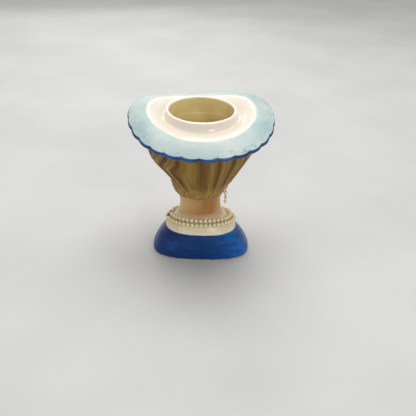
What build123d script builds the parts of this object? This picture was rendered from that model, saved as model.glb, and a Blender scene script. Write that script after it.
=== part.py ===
from build123d import *
import math
import os

os.makedirs("parts", exist_ok=True)

# A glazed lady-head planter: bust, head, hair and hat are slip castings luted
# into one body, with a two-strand necklace and one drop earring of separate
# pieces.  Millimetres, +Z up, the figure looks along -Y and its left is +X.
# The origin is the middle of the foot.

# Bust, a hollow casting on a foot ring
bust_height = 42.0
bust_half_width = 45.7
bust_front_depth = 30.0
bust_back_depth = 27.0
bust_wall = 4.0
floor_thickness = 5.0
foot_ring_width = 5.5
foot_recess = 1.2

# Head: neck, face and skull in one casting
head_height = 96.0
head_half_width = 27.0
head_front_depth = 31.8
head_back_depth = 30.0
head_wall = 3.4
head_shift = 2.8
head_turn = 10.0
nose_reach = 8.0
nose_half_width = 5.6
lip_reach = 1.9
lip_half_width = 7.6
chin_reach = 1.4
lid_reach = 1.7
socket_depth = 1.5
brow_reach = 0.9
cheek_reach = 0.9

# Hair mass on the skull
hair_height = 78.0
hair_left_reach = 47.5
hair_right_reach = 49.0
hair_front_reach = 35.5
hair_back_reach = 35.0
lock_depth = 0.8
locks = 11
lock_sway = 1.4
lock_sways = 1.1
lock_start_share = 0.25

# Hat: saddle-shaped brim with a scalloped edge, and the raised mouth collar
brim_half_width = 64.2
brim_half_depth = 67.0
brim_thickness = 3.0
brim_crest_height = 135.7
brim_crest_share = 0.73
brim_roll = 8.3
brim_saddle = 4.25
saddle_start_share = 0.62
saddle_sharpness = 8
brim_front_dip = 2.3
brim_turn = 8.0
hat_tilt = 7.8
scallop_depth = 1.5
mouth_half_width = 28.4
mouth_half_depth = 24.4
mouth_height = 139.7
collar_wall = 3.5
collar_height = 9.8
collar_flare = 2.4
lip_round = 1.1
hat_seat = 0.35

# Necklace, two strands of beads on threads, closed by a two-strand clasp
pearl_diameter = 4.0
pearl_gap = 0.12
pearl_hole = 0.9
pearl_seat = 0.18
bead_belt_share = 0.18
bead_end_share = 0.46
bead_girth_share = 0.97
thread_diameter = 0.5
necklace_below_neck = 3.2
necklace_front_drop = 9.0
strand_clearance = 0.25
strand_spread = 1.6
clasp_bearing = 84.0
clasp_bar_width = 1.6
clasp_bar_end = 0.5
clasp_gap = 2.2
clasp_tab_width = 1.8
clasp_wire = 0.5
clasp_play = 0.12

# Earring on the figure's right lobe
lobe_half_width = 1.9
lobe_half_height = 3.4
lobe_half_depth = 2.4
lobe_hole = 1.1
lobe_stand_out = 1.3
lobe_share = 0.25
lobe_bearing = -97.0
earring_wire_thickness = 0.6
earring_hook_reach = 3.3
earring_hook_bend = 0.7
earring_hook_drop = 4.8
earring_hook_tail_share = 0.55
earring_bead_diameter = 4.0
earring_eye_hole = 1.3
earring_link_length = 3.4
earring_link_width = 2.5
earring_drop_length = 4.2
earring_drop_diameter = 3.2
earring_tab_thickness = 0.8
earring_tab_hole = 1.2
earring_tab_rim = 0.45
drop_neck_share = 0.66
drop_tip_taper = 36.0
earring_play = 0.12

# Bust outline from the foot up: share of its height, then shares of its half
# width, front depth and back depth, and the squareness of the oval.
bust_shares = (
    (0.000, 0.980, 0.955, 0.974, 2.5),
    (0.071, 1.000, 0.975, 0.993, 2.5),
    (0.190, 0.985, 1.000, 1.000, 2.5),
    (0.417, 0.877, 0.985, 0.985, 2.4),
    (0.643, 0.707, 0.890, 0.930, 2.3),
    (0.810, 0.582, 0.765, 0.830, 2.2),
    (0.929, 0.481, 0.655, 0.722, 2.1),
    (1.000, 0.435, 0.607, 0.674, 2.0),
)

# Head outline from the neck up: share of its height, then shares of its half
# width, front depth, back depth, shift and turn.
head_shares = (
    (0.000, 0.737, 0.572, 0.607, 0.46, 0.0),
    (0.031, 0.711, 0.550, 0.587, 0.50, 0.1),
    (0.065, 0.700, 0.600, 0.577, 0.56, 0.5),
    (0.090, 0.692, 0.830, 0.573, 0.62, 0.9),
    (0.115, 0.697, 0.925, 0.573, 0.68, 1.0),
    (0.146, 0.717, 0.950, 0.577, 0.72, 1.0),
    (0.188, 0.762, 0.958, 0.597, 0.78, 1.0),
    (0.232, 0.828, 0.965, 0.627, 0.85, 1.0),
    (0.278, 0.888, 0.980, 0.680, 0.91, 1.0),
    (0.339, 0.952, 0.985, 0.780, 0.96, 1.0),
    (0.385, 0.982, 0.980, 0.850, 0.98, 1.0),
    (0.427, 0.996, 0.970, 0.900, 1.00, 1.0),
    (0.458, 1.000, 0.968, 0.935, 1.00, 1.0),
    (0.490, 1.000, 0.975, 0.962, 1.00, 1.0),
    (0.521, 1.000, 0.988, 0.983, 1.00, 1.0),
    (0.583, 1.000, 1.000, 1.000, 1.00, 1.0),
    (0.667, 1.005, 0.975, 1.000, 1.00, 0.8),
    (0.760, 1.045, 0.925, 0.980, 1.00, 0.5),
    (0.854, 1.130, 0.892, 0.950, 1.00, 0.2),
    (1.000, 1.181, 0.877, 0.930, 1.00, 0.0),
)

# Features of the face, by the classic thirds of a head: share of the head's
# height where each sits and share over which it fades.
nose_rise_shares = (
    (0.260, 0.02),
    (0.278, 0.62),
    (0.301, 1.00),
    (0.339, 0.84),
    (0.385, 0.56),
    (0.427, 0.34),
    (0.458, 0.20),
    (0.490, 0.10),
    (0.521, 0.00),
)
upper_lip_shares = (0.208, 0.014)
lower_lip_shares = (0.172, 0.016)
chin_shares = (0.110, 0.030)
lid_shares = (0.455, 0.022)
socket_shares = (0.462, 0.045)
brow_shares = (0.512, 0.020)
cheek_shares = (0.325, 0.070)
nose_bridge_share = 0.55
lower_lip_width_share = 0.85
lid_width_share = 0.8
cheek_out_share = 1.6
face_square_share = 0.35

# Hair outline from the nape up: share of the height from the nape to the top
# of the head, then shares of its left, right, front and back reach, and the
# squareness of the front half.
hair_shares = (
    (0.000, 0.300, 0.300, 0.110, 0.530, 2.0),
    (0.050, 0.395, 0.420, 0.170, 0.618, 2.2),
    (0.120, 0.470, 0.530, 0.250, 0.725, 2.5),
    (0.220, 0.590, 0.655, 0.330, 0.835, 2.7),
    (0.320, 0.715, 0.765, 0.365, 0.900, 2.9),
    (0.420, 0.880, 0.875, 0.385, 0.945, 2.9),
    (0.500, 0.955, 0.960, 0.520, 0.970, 2.7),
    (0.570, 0.990, 1.000, 0.820, 0.985, 2.4),
    (0.660, 0.995, 0.985, 0.975, 1.000, 2.2),
    (0.760, 0.950, 0.925, 1.000, 0.990, 2.1),
    (0.880, 0.870, 0.840, 0.960, 0.955, 2.0),
    (1.000, 0.800, 0.775, 0.930, 0.920, 2.0),
)

# Collar from its lip down: share of its height below the lip, share of its flare
collar_shares = ((0.22, 0.0), (0.5, 0.14), (0.74, 0.42))

# Lip from the inside to the outside: set out from the mouth, depth below the lip
lip_profile = (
    (0, lip_round),
    (lip_round / 3, lip_round / 3),
    (lip_round, 0),
    (collar_wall - lip_round, 0),
    (collar_wall - lip_round / 3, lip_round / 3),
)

# Ear lobe from its tip up: share of its half height, share of its girth
lobe_shares = ((-1.0, 0.35), (-0.62, 0.84), (0.0, 1.0), (0.62, 0.84), (1.0, 0.35))

bust_points = 24
head_points = 40
hair_points = 4 * locks
lobe_points = 8
bust_levels = 8
head_levels = 22
hair_levels = 10
cavity_levels = 6
scallops = 27
scallop_phase = math.pi / 3
hat_points = 3 * scallops
brim_ring_shares = (0.13, 0.3, 0.48, 0.72, 0.95)
brim_edge_round = 0.9
hair_top_shares = (0.88, 0.74)
bead_sides = 6
wire_sides = 6
thread_sides = 4
tab_sides = 10
path_steps = 240
seat_steps = 4
search_steps = 16
nudge_share = 0.005
overrun = 20.0


def oval_place(bearing, left, right, front, back, front_square, back_square):
    """Place on a soft oval at a bearing from its front, turning towards its left."""
    aside = math.sin(bearing)
    ahead = math.cos(bearing)
    square = front_square if ahead > 0 else back_square
    scale = (abs(aside) ** square + abs(ahead) ** square) ** (-1 / square)
    x = aside * scale * (left if aside > 0 else right)
    y = -ahead * scale * (front if ahead > 0 else back)
    return x, y


def turned(place, angle):
    """Place turned about the figure's axis, anticlockwise from above."""
    swing = math.radians(angle)
    x, y = place
    return x * math.cos(swing) - y * math.sin(swing), x * math.sin(swing) + y * math.cos(swing)


def smooth_row(table, share):
    """Row of a table at any height share, on a smooth curve through its rows."""
    last = len(table) - 1
    low = max(i for i in range(last) if table[i][0] <= share or i == 0)
    start, end = table[low], table[low + 1]
    span = end[0] - start[0]
    part = (share - start[0]) / span
    square, cube = part**2, part**3
    before = table[max(low - 1, 0)]
    after = table[min(low + 2, last)]
    row = [share]
    for column in range(1, len(start)):
        lead = (end[column] - before[column]) / (end[0] - before[0]) * span
        trail = (after[column] - start[column]) / (after[0] - start[0]) * span
        row.append(
            (2 * cube - 3 * square + 1) * start[column]
            + (cube - 2 * square + part) * lead
            + (3 * square - 2 * cube) * end[column]
            + (cube - square) * trail
        )
    return row


def fade(distance, spread):
    """Soft bump: one at no distance, fading over the spread."""
    return math.exp(-((distance / spread) ** 2))


def level_fade(share, level):
    """Soft bump about a feature's level, given as its height share and its spread."""
    return fade(share - level[0], level[1])


def bust_place(share, bearing, inset):
    """Place on the bust at a share of its height, drawn in by inset."""
    _, width, front, back, square = smooth_row(bust_shares, share)
    side = width * bust_half_width - inset
    ahead = front * bust_front_depth - inset
    behind = back * bust_back_depth - inset
    x, y = oval_place(bearing, side, side, ahead, behind, square, square)
    return x + head_shift * head_shares[0][4] * share**2, y


def face_relief(share, bearing):
    """How far the face's features stand out at a height share and a bearing."""
    aside = bearing * head_front_depth
    inner_eye = nose_half_width * 2
    relief = 0.0
    if nose_rise_shares[0][0] <= share <= nose_rise_shares[-1][0]:
        rise = smooth_row(nose_rise_shares, share)[1]
        width_share = nose_bridge_share + (1 - nose_bridge_share) * rise
        relief += nose_reach * rise * fade(aside, nose_half_width * width_share)
    lower_half_width = lower_lip_width_share * lip_half_width
    lid_half_width = lid_width_share * nose_half_width
    relief += lip_reach * level_fade(share, upper_lip_shares) * fade(aside, lip_half_width)
    relief += lip_reach * level_fade(share, lower_lip_shares) * fade(aside, lower_half_width)
    relief += chin_reach * level_fade(share, chin_shares) * fade(aside, lip_half_width)
    for side in (-1, 1):
        eye = aside - side * inner_eye
        relief -= socket_depth * level_fade(share, socket_shares) * fade(eye, nose_half_width)
        relief += lid_reach * level_fade(share, lid_shares) * fade(eye, lid_half_width)
        relief += brow_reach * level_fade(share, brow_shares) * fade(eye, nose_half_width)
        cheek = aside - side * cheek_out_share * inner_eye
        relief += cheek_reach * level_fade(share, cheek_shares) * fade(cheek, inner_eye)
    return relief


def head_place(share, bearing, inset):
    """Place on the head at a share of its height; the cavity leaves the features out."""
    share, width, front, back, shift, turn = smooth_row(head_shares, share)
    side = width * head_half_width - inset
    relief = 0 if inset else face_relief(share, bearing)
    ahead = front * head_front_depth - inset
    behind = back * head_back_depth - inset
    square = 2 + face_square_share * turn
    x, y = oval_place(bearing, side, side, ahead, behind, square, 2)
    stretch = 1 + relief / math.hypot(x, y)
    x, y = turned((x * stretch, y * stretch), turn * head_turn)
    return x + shift * head_shift, y


def hair_place(share, bearing):
    """Place on the hair, with locks as shallow waves that sway as they climb."""
    share, left, right, front, back, square = smooth_row(hair_shares, share)
    x, y = oval_place(
        bearing,
        left * hair_left_reach,
        right * hair_right_reach,
        front * hair_front_reach,
        back * hair_back_reach,
        square,
        2,
    )
    sway = lock_sway * math.sin(math.tau * lock_sways * share)
    lock = lock_depth * min(1, share / lock_start_share) * math.cos(locks * bearing + sway)
    stretch = 1 + lock / math.hypot(x, y)
    x, y = turned((x * stretch, y * stretch), head_turn)
    return x + head_shift, y


def brim_height(x, y):
    """Height of the brim's upper side over a place in plan."""
    u, v = turned((x - head_shift, y), -brim_turn)
    share = math.hypot(u / brim_half_width, v / brim_half_depth)
    bearing = math.atan2(u, -v)
    roll = brim_roll * (1 - math.cos(math.pi * (share / brim_crest_share - 1)))
    outer = 1 - math.exp(-((share / saddle_start_share) ** saddle_sharpness))
    saddle = brim_saddle * outer * math.cos(2 * bearing)
    dip = brim_front_dip * share**3 * math.cos(3 * bearing)
    return brim_crest_height - roll - saddle - dip - y * math.tan(math.radians(hat_tilt))


def brim_edge(bearing):
    """Place on the brim's edge in plan: a turned oval of round scallops."""
    wave = scallop_depth / 2 * math.cos(scallops * bearing + scallop_phase)
    aim = bearing - math.radians(brim_turn)
    across = (brim_half_width + wave) * math.sin(aim)
    along = -(brim_half_depth + wave) * math.cos(aim)
    x, y = turned((across, along), brim_turn)
    return x + head_shift, y


def mouth_place(bearing, outset):
    """Place on the mouth's oval in plan, set out from its inside."""
    x = (mouth_half_width + outset) * math.sin(bearing)
    y = -(mouth_half_depth + outset) * math.cos(bearing)
    return x + head_shift, y


def brim_ring(out_share, drop):
    """Ring of places on the brim between the mouth, at share zero, and its edge."""
    ring = []
    for bearing in hat_bearings:
        near = mouth_place(bearing, 0)
        far = brim_edge(bearing)
        x = near[0] + (far[0] - near[0]) * out_share
        y = near[1] + (far[1] - near[1]) * out_share
        ring.append((x, y, brim_height(x, y) - drop))
    return ring


def collar_ring(outset, drop):
    """Ring of places round the collar, lowered by drop from the tilted lip."""
    places = [mouth_place(bearing, outset) for bearing in hat_bearings]
    return [(x, y, mouth_height - drop - y * math.tan(math.radians(hat_tilt))) for x, y in places]


def top_height(place_at, bearing):
    """Height at which a surface that climbs at a bearing meets the brim's underside."""
    height = bust_height + head_height
    for _ in range(seat_steps):
        height = brim_height(*place_at(height, bearing)) - brim_thickness - hat_seat
    return height


def climbing_rings(place_at, bearings, base, levels):
    """Rings of places on a surface from a level base up to the brim's underside."""
    tops = [top_height(place_at, bearing) for bearing in bearings]
    rings = []
    for level in range(levels + 1):
        heights = [base + (top - base) * level / levels for top in tops]
        rings.append([(*place_at(z, bearing), z) for z, bearing in zip(heights, bearings)])
    return rings


def triangles(rings):
    """Flat triangles between each ring of places and the next."""
    faces = []
    for ring, following in zip(rings, rings[1:]):
        for i, place in enumerate(ring):
            j = (i + 1) % len(ring)
            faces.append(Face(Wire.make_polygon([place, ring[j], following[j]])))
            faces.append(Face(Wire.make_polygon([place, following[j], following[i]])))
    return faces


def ring_solid(rings):
    """Solid with a way through it, between rings that lead back to the first."""
    return Solid(Shell(triangles([*rings, rings[0]])))


def plug_solid(rings):
    """Solid between rings, closed at its level first and last rings."""
    ends = [Face(Wire.make_polygon(ring)) for ring in (rings[0], rings[-1])]
    return Solid(Shell([*triangles(rings), *ends]))


def level_rings(place_at, bearings, base, top, levels):
    """Rings of places on a surface at even levels."""
    heights = [base + (top - base) * level / levels for level in range(levels + 1)]
    return [[(*place_at(z, bearing), z) for bearing in bearings] for z in heights]


def shoulder_place(bearing, below):
    """Centre of a bead resting on the shoulders at a bearing, set below the bust's top."""

    def surface(at_bearing, at_share):
        """Place on the bust's outside."""
        x, y = bust_place(at_share, at_bearing, 0)
        return Vector(x, y, at_share * bust_height)

    share = 1 - below / bust_height
    place = surface(bearing, share)
    along = surface(bearing + nudge_share, share) - place
    rise = surface(bearing, share + nudge_share) - place
    return place + along.cross(rise).normalized() * (pearl_diameter / 2 + pearl_seat)


def strand_place(bearing, lower):
    """Point of the upper or lower strand's line at a bearing."""
    front_share = (1 + math.cos(bearing)) / 2
    below = necklace_below_neck + necklace_front_drop * front_share
    upper_place = shoulder_place(bearing, below)
    if not lower:
        return upper_place
    spacing = pearl_diameter + strand_clearance + strand_spread * front_share
    near, far = below, bust_height
    for _ in range(search_steps):
        middle = (near + far) / 2
        if (shoulder_place(bearing, middle) - upper_place).length < spacing:
            near = middle
        else:
            far = middle
    return shoulder_place(bearing, near)


def strand_knots(lower, middle, start):
    """Evenly spaced points of a strand, one between each two beads, from a
    start angle past its middle bearing round to the same angle before it."""
    bearings = [middle + start + (math.tau - 2 * start) * i / path_steps for i in range(path_steps + 1)]
    line = [strand_place(bearing, lower) for bearing in bearings]
    runs = [(after - before).length for before, after in zip(line, line[1:])]
    count = int(sum(runs) / (pearl_diameter + pearl_gap))
    pitch = sum(runs) / count
    knots = [line[0]]
    travelled = 0.0
    for before, after, run in zip(line, line[1:], runs):
        while len(knots) < count and travelled + run >= pitch * len(knots):
            knots.append(before + (after - before) * ((pitch * len(knots) - travelled) / run))
        travelled += run
    return [*knots, line[-1]]


def bead(diameter, hole):
    """Faceted round bead, drilled along Z."""
    end = bead_end_share * diameter
    belt = bead_belt_share * diameter
    girth = bead_girth_share * diameter / 2
    rings = []
    for radius, z in ((hole / 2, -end), (girth, -belt), (girth, belt), (hole / 2, end)):
        bearings = even_bearings(bead_sides)
        rings.append([(radius * math.sin(bearing), -radius * math.cos(bearing), z) for bearing in bearings])
    return ring_solid(rings)


def bust_side(height, bearing):
    """Place on the bust's outside."""
    return bust_place(height / bust_height, bearing, 0)


def bust_cavity(height, bearing):
    """Place on the bust's inside."""
    return bust_place(height / bust_height, bearing, bust_wall)


def head_side(height, bearing):
    """Place on the head's outside."""
    return head_place((height - bust_height) / head_height, bearing, 0)


def head_cavity(height, bearing):
    """Place on the head's inside."""
    return head_place((height - bust_height) / head_height, bearing, head_wall)


def hair_side(height, bearing):
    """Place on the hair's outside."""
    return hair_place((height - nape_height) / hair_height, bearing)


def even_bearings(points):
    """Bearings all round, evenly spaced."""
    return [math.tau * point / points for point in range(points)]


bust_bearings = even_bearings(bust_points)
head_bearings = even_bearings(head_points)
hair_bearings = even_bearings(hair_points)
hat_bearings = even_bearings(hat_points)
nape_height = bust_height + head_height - hair_height

# Bust: shell with a closed floor and a shallow recess inside the foot ring
floor_top = foot_recess + floor_thickness
with BuildPart() as bust:
    add(plug_solid(level_rings(bust_side, bust_bearings, 0, bust_height, bust_levels)))
    hollow = level_rings(bust_cavity, bust_bearings, floor_top, bust_height, cavity_levels)
    add(plug_solid(hollow), mode=Mode.SUBTRACT)
    with BuildSketch():
        with BuildLine():
            Polyline(*(bust_place(0, bearing, foot_ring_width) for bearing in bust_bearings), close=True)
        make_face()
    extrude(amount=foot_recess, mode=Mode.SUBTRACT)
bust.part.label = "bust"
export_step(bust.part, "parts/bust.step")

# Hat: one skin from the mouth's inside over the lip, down the flared collar,
# out along the saddle of the brim, round its edge and back along its underside
hat_rings = [brim_ring(0, brim_thickness)]
hat_rings += [collar_ring(outset, drop) for outset, drop in lip_profile]
for share, flare_share in collar_shares:
    hat_rings.append(collar_ring(collar_wall + flare_share * collar_flare, share * collar_height))
hat_rings += [brim_ring(share, 0) for share in brim_ring_shares]
hat_rings += [brim_ring(1, brim_edge_round), brim_ring(1, brim_thickness - brim_edge_round)]
hat_rings += [brim_ring(share, brim_thickness) for share in reversed(brim_ring_shares)]
with BuildPart() as hat:
    add(ring_solid(hat_rings))
hat.part.label = "hat"
export_step(hat.part, "parts/hat.step")

# Head: neck, face and skull as one hollow shell, with the right ear's pierced lobe
surface_x, lobe_y = head_place(lobe_share, math.radians(lobe_bearing), 0)
lobe_x = surface_x - lobe_stand_out
lobe_z = bust_height + lobe_share * head_height
head_rings = climbing_rings(head_side, head_bearings, bust_height, head_levels)
skull_rings = climbing_rings(head_cavity, head_bearings, bust_height, cavity_levels)
lobe_rings = [
    [
        (
            lobe_x + girth * lobe_half_width * math.sin(bearing),
            lobe_y - girth * lobe_half_depth * math.cos(bearing),
            lobe_z + rise * lobe_half_height,
        )
        for bearing in even_bearings(lobe_points)
    ]
    for rise, girth in lobe_shares
]
with BuildPart() as head:
    add(ring_solid([*head_rings, *reversed(skull_rings)]))
    add(plug_solid(lobe_rings))
    with BuildSketch(Plane((lobe_x, lobe_y + overrun, lobe_z), z_dir=(0, -1, 0))):
        RegularPolygon(lobe_hole / 2, wire_sides)
    extrude(amount=2 * overrun, mode=Mode.SUBTRACT)
head.part.label = "head"
export_step(head.part, "parts/head.step")

# Hair: mass of waving locks from the nape up to the brim, fitted to the head
hair_rings = climbing_rings(hair_side, hair_bearings, nape_height, hair_levels)
for inward in hair_top_shares:
    places = [(head_shift + (x - head_shift) * inward, y * inward) for x, y, _ in hair_rings[hair_levels]]
    hair_rings.append([(x, y, brim_height(x, y) - brim_thickness - hat_seat) for x, y in places])
for rings in (hair_rings, head_rings):
    rings.append([(x, y, brim_crest_height + overrun) for x, y, _ in rings[-1]])
with BuildPart() as hair:
    add(plug_solid(hair_rings))
    add(plug_solid(head_rings), mode=Mode.SUBTRACT)
    add(plug_solid(lobe_rings), mode=Mode.SUBTRACT)
hair.part.label = "hair"
export_step(hair.part, "parts/hair.step")

# Clasp frame: along the strands, across them and away from the shoulder
clasp_angle = math.radians(clasp_bearing)
clasp_upper = strand_place(clasp_angle, False)
clasp_lower = strand_place(clasp_angle, True)
clasp_ahead = strand_place(clasp_angle + math.radians(1), False) - clasp_upper
clasp_out = clasp_ahead.cross(clasp_upper - clasp_lower)
clasp_radius = clasp_ahead.length / math.radians(1)
clasp_middle = (clasp_upper + clasp_lower) / 2
clasp_plane = Plane(clasp_middle, x_dir=clasp_ahead, z_dir=clasp_out)
hook_plane = Plane(clasp_middle, x_dir=clasp_plane.x_dir, z_dir=-clasp_plane.y_dir)
clasp_slip = clasp_plane.to_local_coords(clasp_upper).X
strand_spacing = 2 * clasp_plane.to_local_coords(clasp_upper).Y
bar_length = strand_spacing + thread_diameter + 2 * (clasp_play + clasp_bar_end)
bar_place = (clasp_gap + clasp_bar_width) / 2
bar_thickness = 3 * clasp_wire + 2 * clasp_play

# Necklace: each strand's thread runs straight through every bead's hole
pearl = bead(pearl_diameter, pearl_hole)
for name, lower in (("upper", False), ("lower", True)):
    side = -1 if lower else 1
    reach = clasp_gap / 2 + clasp_bar_width + pearl_gap
    knots = strand_knots(lower, clasp_angle - side * clasp_slip / clasp_radius, reach / clasp_radius)
    across = side * strand_spacing / 2
    ends = [clasp_plane.from_local_coords((way * bar_place, across, 0)) for way in (1, -1)]
    seats = [Plane((a + b) / 2, z_dir=b - a) for a, b in zip(knots, knots[1:])]
    with BuildPart() as pearls:
        with Locations(*seats):
            add(pearl)
    pearls.part.label = f"necklace_{name}_pearls"
    export_step(pearls.part, f"parts/necklace_{name}_pearls.step")
    with BuildPart() as thread:
        with BuildLine() as run:
            Polyline(ends[0], *knots, ends[1])
        with BuildSketch(Plane(ends[0], z_dir=knots[0] - ends[0])):
            RegularPolygon(thread_diameter / 2, thread_sides)
        sweep(transition=Transition.RIGHT)
    thread.part.label = f"necklace_{name}_thread"
    export_step(thread.part, f"parts/necklace_{name}_thread.step")

# Clasp eye bar: end bar on the front side, with a pierced tab
with BuildPart() as clasp_eye_bar:
    with BuildSketch(clasp_plane):
        with Locations((-bar_place, 0)):
            Rectangle(clasp_bar_width, bar_length)
    extrude(amount=bar_thickness / 2, both=True)
    with BuildSketch(clasp_plane):
        with Locations((-clasp_gap / 4, 0)):
            Rectangle(clasp_gap / 2, clasp_tab_width)
        RegularPolygon(clasp_tab_width / 2, tab_sides)
    extrude(amount=clasp_wire / 2, both=True)
    with BuildSketch(clasp_plane.offset(-bar_thickness)):
        Rectangle(clasp_wire + 2 * clasp_play, clasp_wire + 2 * clasp_play)
    extrude(amount=2 * bar_thickness, mode=Mode.SUBTRACT)
    with BuildSketch(Plane(clasp_middle, x_dir=clasp_plane.y_dir, z_dir=-clasp_plane.x_dir)):
        with GridLocations(strand_spacing, 0, 2, 1):
            RegularPolygon(thread_diameter / 2 + clasp_play, wire_sides)
    extrude(amount=overrun, mode=Mode.SUBTRACT)
clasp_eye_bar.part.label = "clasp_eye_bar"
export_step(clasp_eye_bar.part, "parts/clasp_eye_bar.step")

# Clasp hook bar: end bar on the back side, with a flat-wire hook down through the tab
arm_low = clasp_wire / 2 + clasp_play
arm_high = arm_low + clasp_wire
with BuildPart() as clasp_hook_bar:
    with BuildSketch(clasp_plane):
        with Locations((bar_place, 0)):
            Rectangle(clasp_bar_width, bar_length)
    extrude(amount=bar_thickness / 2, both=True)
    with BuildSketch(hook_plane):
        with BuildLine():
            Polyline(
                (bar_place, arm_low),
                (bar_place, arm_high),
                (-clasp_wire / 2, arm_high),
                (-clasp_wire / 2, -arm_high),
                (clasp_wire / 2, -arm_high),
                (clasp_wire / 2, arm_low),
                close=True,
            )
        make_face()
    extrude(amount=clasp_wire / 2, both=True)
    with BuildSketch(Plane(clasp_middle, x_dir=clasp_plane.y_dir, z_dir=clasp_plane.x_dir)):
        with GridLocations(strand_spacing, 0, 2, 1):
            RegularPolygon(thread_diameter / 2 + clasp_play, wire_sides)
    extrude(amount=overrun, mode=Mode.SUBTRACT)
clasp_hook_bar.part.label = "clasp_hook_bar"
export_step(clasp_hook_bar.part, "parts/clasp_hook_bar.step")

# Earring heights, from the lobe down: wire in the lobe's hole, bead, eye, link, drop
wire = earring_wire_thickness
hang_x = lobe_x
hook_z = lobe_z - (lobe_hole - wire) / 2 + earring_play
bead_half = bead_end_share * earring_bead_diameter
bead_z = hook_z - earring_hook_drop - wire / 2 - bead_half - earring_play
eye_outer = earring_eye_hole / 2 + wire
eye_z = bead_z - bead_half - earring_play - eye_outer
link_bar_z = eye_z - earring_play
link_z = link_bar_z + (wire - earring_link_length) / 2
tab_z = link_z - (earring_link_length - wire) / 2
tab_hole = earring_tab_hole / 2
tab_outer = tab_hole + earring_tab_rim

# Ear wire: a hook through the lobe that carries the bead and ends in an eye
side_plane = Plane((hang_x, lobe_y, 0), x_dir=(0, 1, 0), z_dir=(1, 0, 0))
with BuildPart() as earring_wire:
    with BuildLine(side_plane) as run:
        Polyline(
            (earring_hook_reach, hook_z - earring_hook_tail_share * earring_hook_drop),
            (earring_hook_reach, hook_z - earring_hook_bend),
            (earring_hook_reach - earring_hook_bend, hook_z),
            (earring_hook_bend - earring_hook_reach, hook_z),
            (-earring_hook_reach, hook_z - earring_hook_bend),
            (-earring_hook_reach, hook_z - earring_hook_tail_share * earring_hook_drop),
            (0, hook_z - earring_hook_drop),
            (0, eye_z + eye_outer - wire / 2),
        )
    with BuildSketch(Plane(run.line @ 0, z_dir=run.line % 0)):
        RegularPolygon(wire / 2, wire_sides)
    sweep(transition=Transition.RIGHT)
    with BuildSketch(side_plane):
        with Locations((0, eye_z)):
            RegularPolygon(eye_outer, tab_sides)
            RegularPolygon(earring_eye_hole / 2, tab_sides, mode=Mode.SUBTRACT)
    extrude(amount=wire / 2, both=True)
earring_wire.part.label = "earring_wire"
export_step(earring_wire.part, "parts/earring_wire.step")

with BuildPart() as earring_bead:
    with Locations((hang_x, lobe_y, bead_z)):
        add(bead(earring_bead_diameter, wire + 2 * earring_play))
earring_bead.part.label = "earring_bead"
export_step(earring_bead.part, "parts/earring_bead.step")

# Link: flat oval that hangs in the eye, square to it
front_plane = Plane((hang_x, lobe_y, 0), x_dir=(1, 0, 0), z_dir=(0, -1, 0))
with BuildPart() as earring_link:
    with BuildSketch(front_plane):
        with Locations(Location((0, link_z), 90)):
            SlotOverall(earring_link_length, earring_link_width)
            SlotOverall(earring_link_length - 2 * wire, earring_link_width - 2 * wire, mode=Mode.SUBTRACT)
    extrude(amount=wire / 2, both=True)
earring_link.part.label = "earring_link"
export_step(earring_link.part, "parts/earring_link.step")

# Drop: faceted teardrop under a thin pierced tab
drop_top = tab_z - tab_hole
drop_neck = drop_neck_share * earring_drop_length
drop_tip = earring_drop_length - drop_neck
drop_radius = earring_drop_diameter / 2
drop_taper = math.degrees(math.atan2(drop_radius - earring_tab_thickness / 2, drop_neck))
with BuildPart() as earring_drop:
    for along, length, taper in ((1, drop_neck, drop_taper), (-1, drop_tip, drop_tip_taper)):
        with BuildSketch(Plane((hang_x, lobe_y, drop_top - drop_neck), z_dir=(0, 0, along))):
            RegularPolygon(drop_radius, bead_sides)
        extrude(amount=length, taper=taper)
    with BuildSketch(side_plane):
        with Locations((0, tab_z)):
            RegularPolygon(tab_outer, tab_sides)
    extrude(amount=earring_tab_thickness / 2, both=True)
    with BuildSketch(side_plane):
        with Locations((0, tab_z)):
            RegularPolygon(tab_hole, tab_sides)
    extrude(amount=earring_drop_diameter, both=True, mode=Mode.SUBTRACT)
earring_drop.part.label = "earring_drop"
export_step(earring_drop.part, "parts/earring_drop.step")
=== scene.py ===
"""Head planter: the finish of a glazed lady's head vase, dressed over its CAD frame.

Lengths are in metres. The figure faces -Y and stands on z = 0; +X is its left.
A bearing turns round the figure's axis from its front towards its left.
"""

import math
import random

import bpy
from mathutils import Matrix, Vector


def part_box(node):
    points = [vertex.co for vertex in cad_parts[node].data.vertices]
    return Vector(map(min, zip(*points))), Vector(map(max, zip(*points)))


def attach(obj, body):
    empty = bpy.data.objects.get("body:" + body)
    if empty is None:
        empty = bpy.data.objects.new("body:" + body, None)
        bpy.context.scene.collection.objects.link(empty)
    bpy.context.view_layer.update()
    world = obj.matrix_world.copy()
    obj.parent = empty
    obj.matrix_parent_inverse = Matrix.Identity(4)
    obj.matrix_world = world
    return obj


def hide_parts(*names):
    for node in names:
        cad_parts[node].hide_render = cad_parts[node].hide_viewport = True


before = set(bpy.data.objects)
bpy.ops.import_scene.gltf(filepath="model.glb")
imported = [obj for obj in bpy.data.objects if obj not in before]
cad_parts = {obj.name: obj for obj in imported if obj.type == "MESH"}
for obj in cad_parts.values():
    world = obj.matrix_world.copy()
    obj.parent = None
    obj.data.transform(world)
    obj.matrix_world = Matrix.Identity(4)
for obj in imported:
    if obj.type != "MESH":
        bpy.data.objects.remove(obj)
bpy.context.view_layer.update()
mm = 0.001

# Bust
bust_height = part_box("bust")[1][2]
bust_half_width = 45.7 * mm
bust_front_depth = 30 * mm
bust_back_depth = 27 * mm
bust_wall = 4 * mm
floor_thickness = 5 * mm
foot_ring_width = 5.5 * mm
foot_recess = 1.2 * mm
neckline_back = 26.8 * mm
neckline_side = 26.2 * mm
neckline_front = 17 * mm
foot_round = 0.6 * mm
foot_line_height = 1.3 * mm
foot_line_wander = 0.5 * mm
nape_tint_heights = (38 * mm, 42 * mm)
# Painted light: the dress is lighter on its side at this bearing and spread, where light falls.
lit_side = (232, 0.5)
bust_columns = 220

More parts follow.
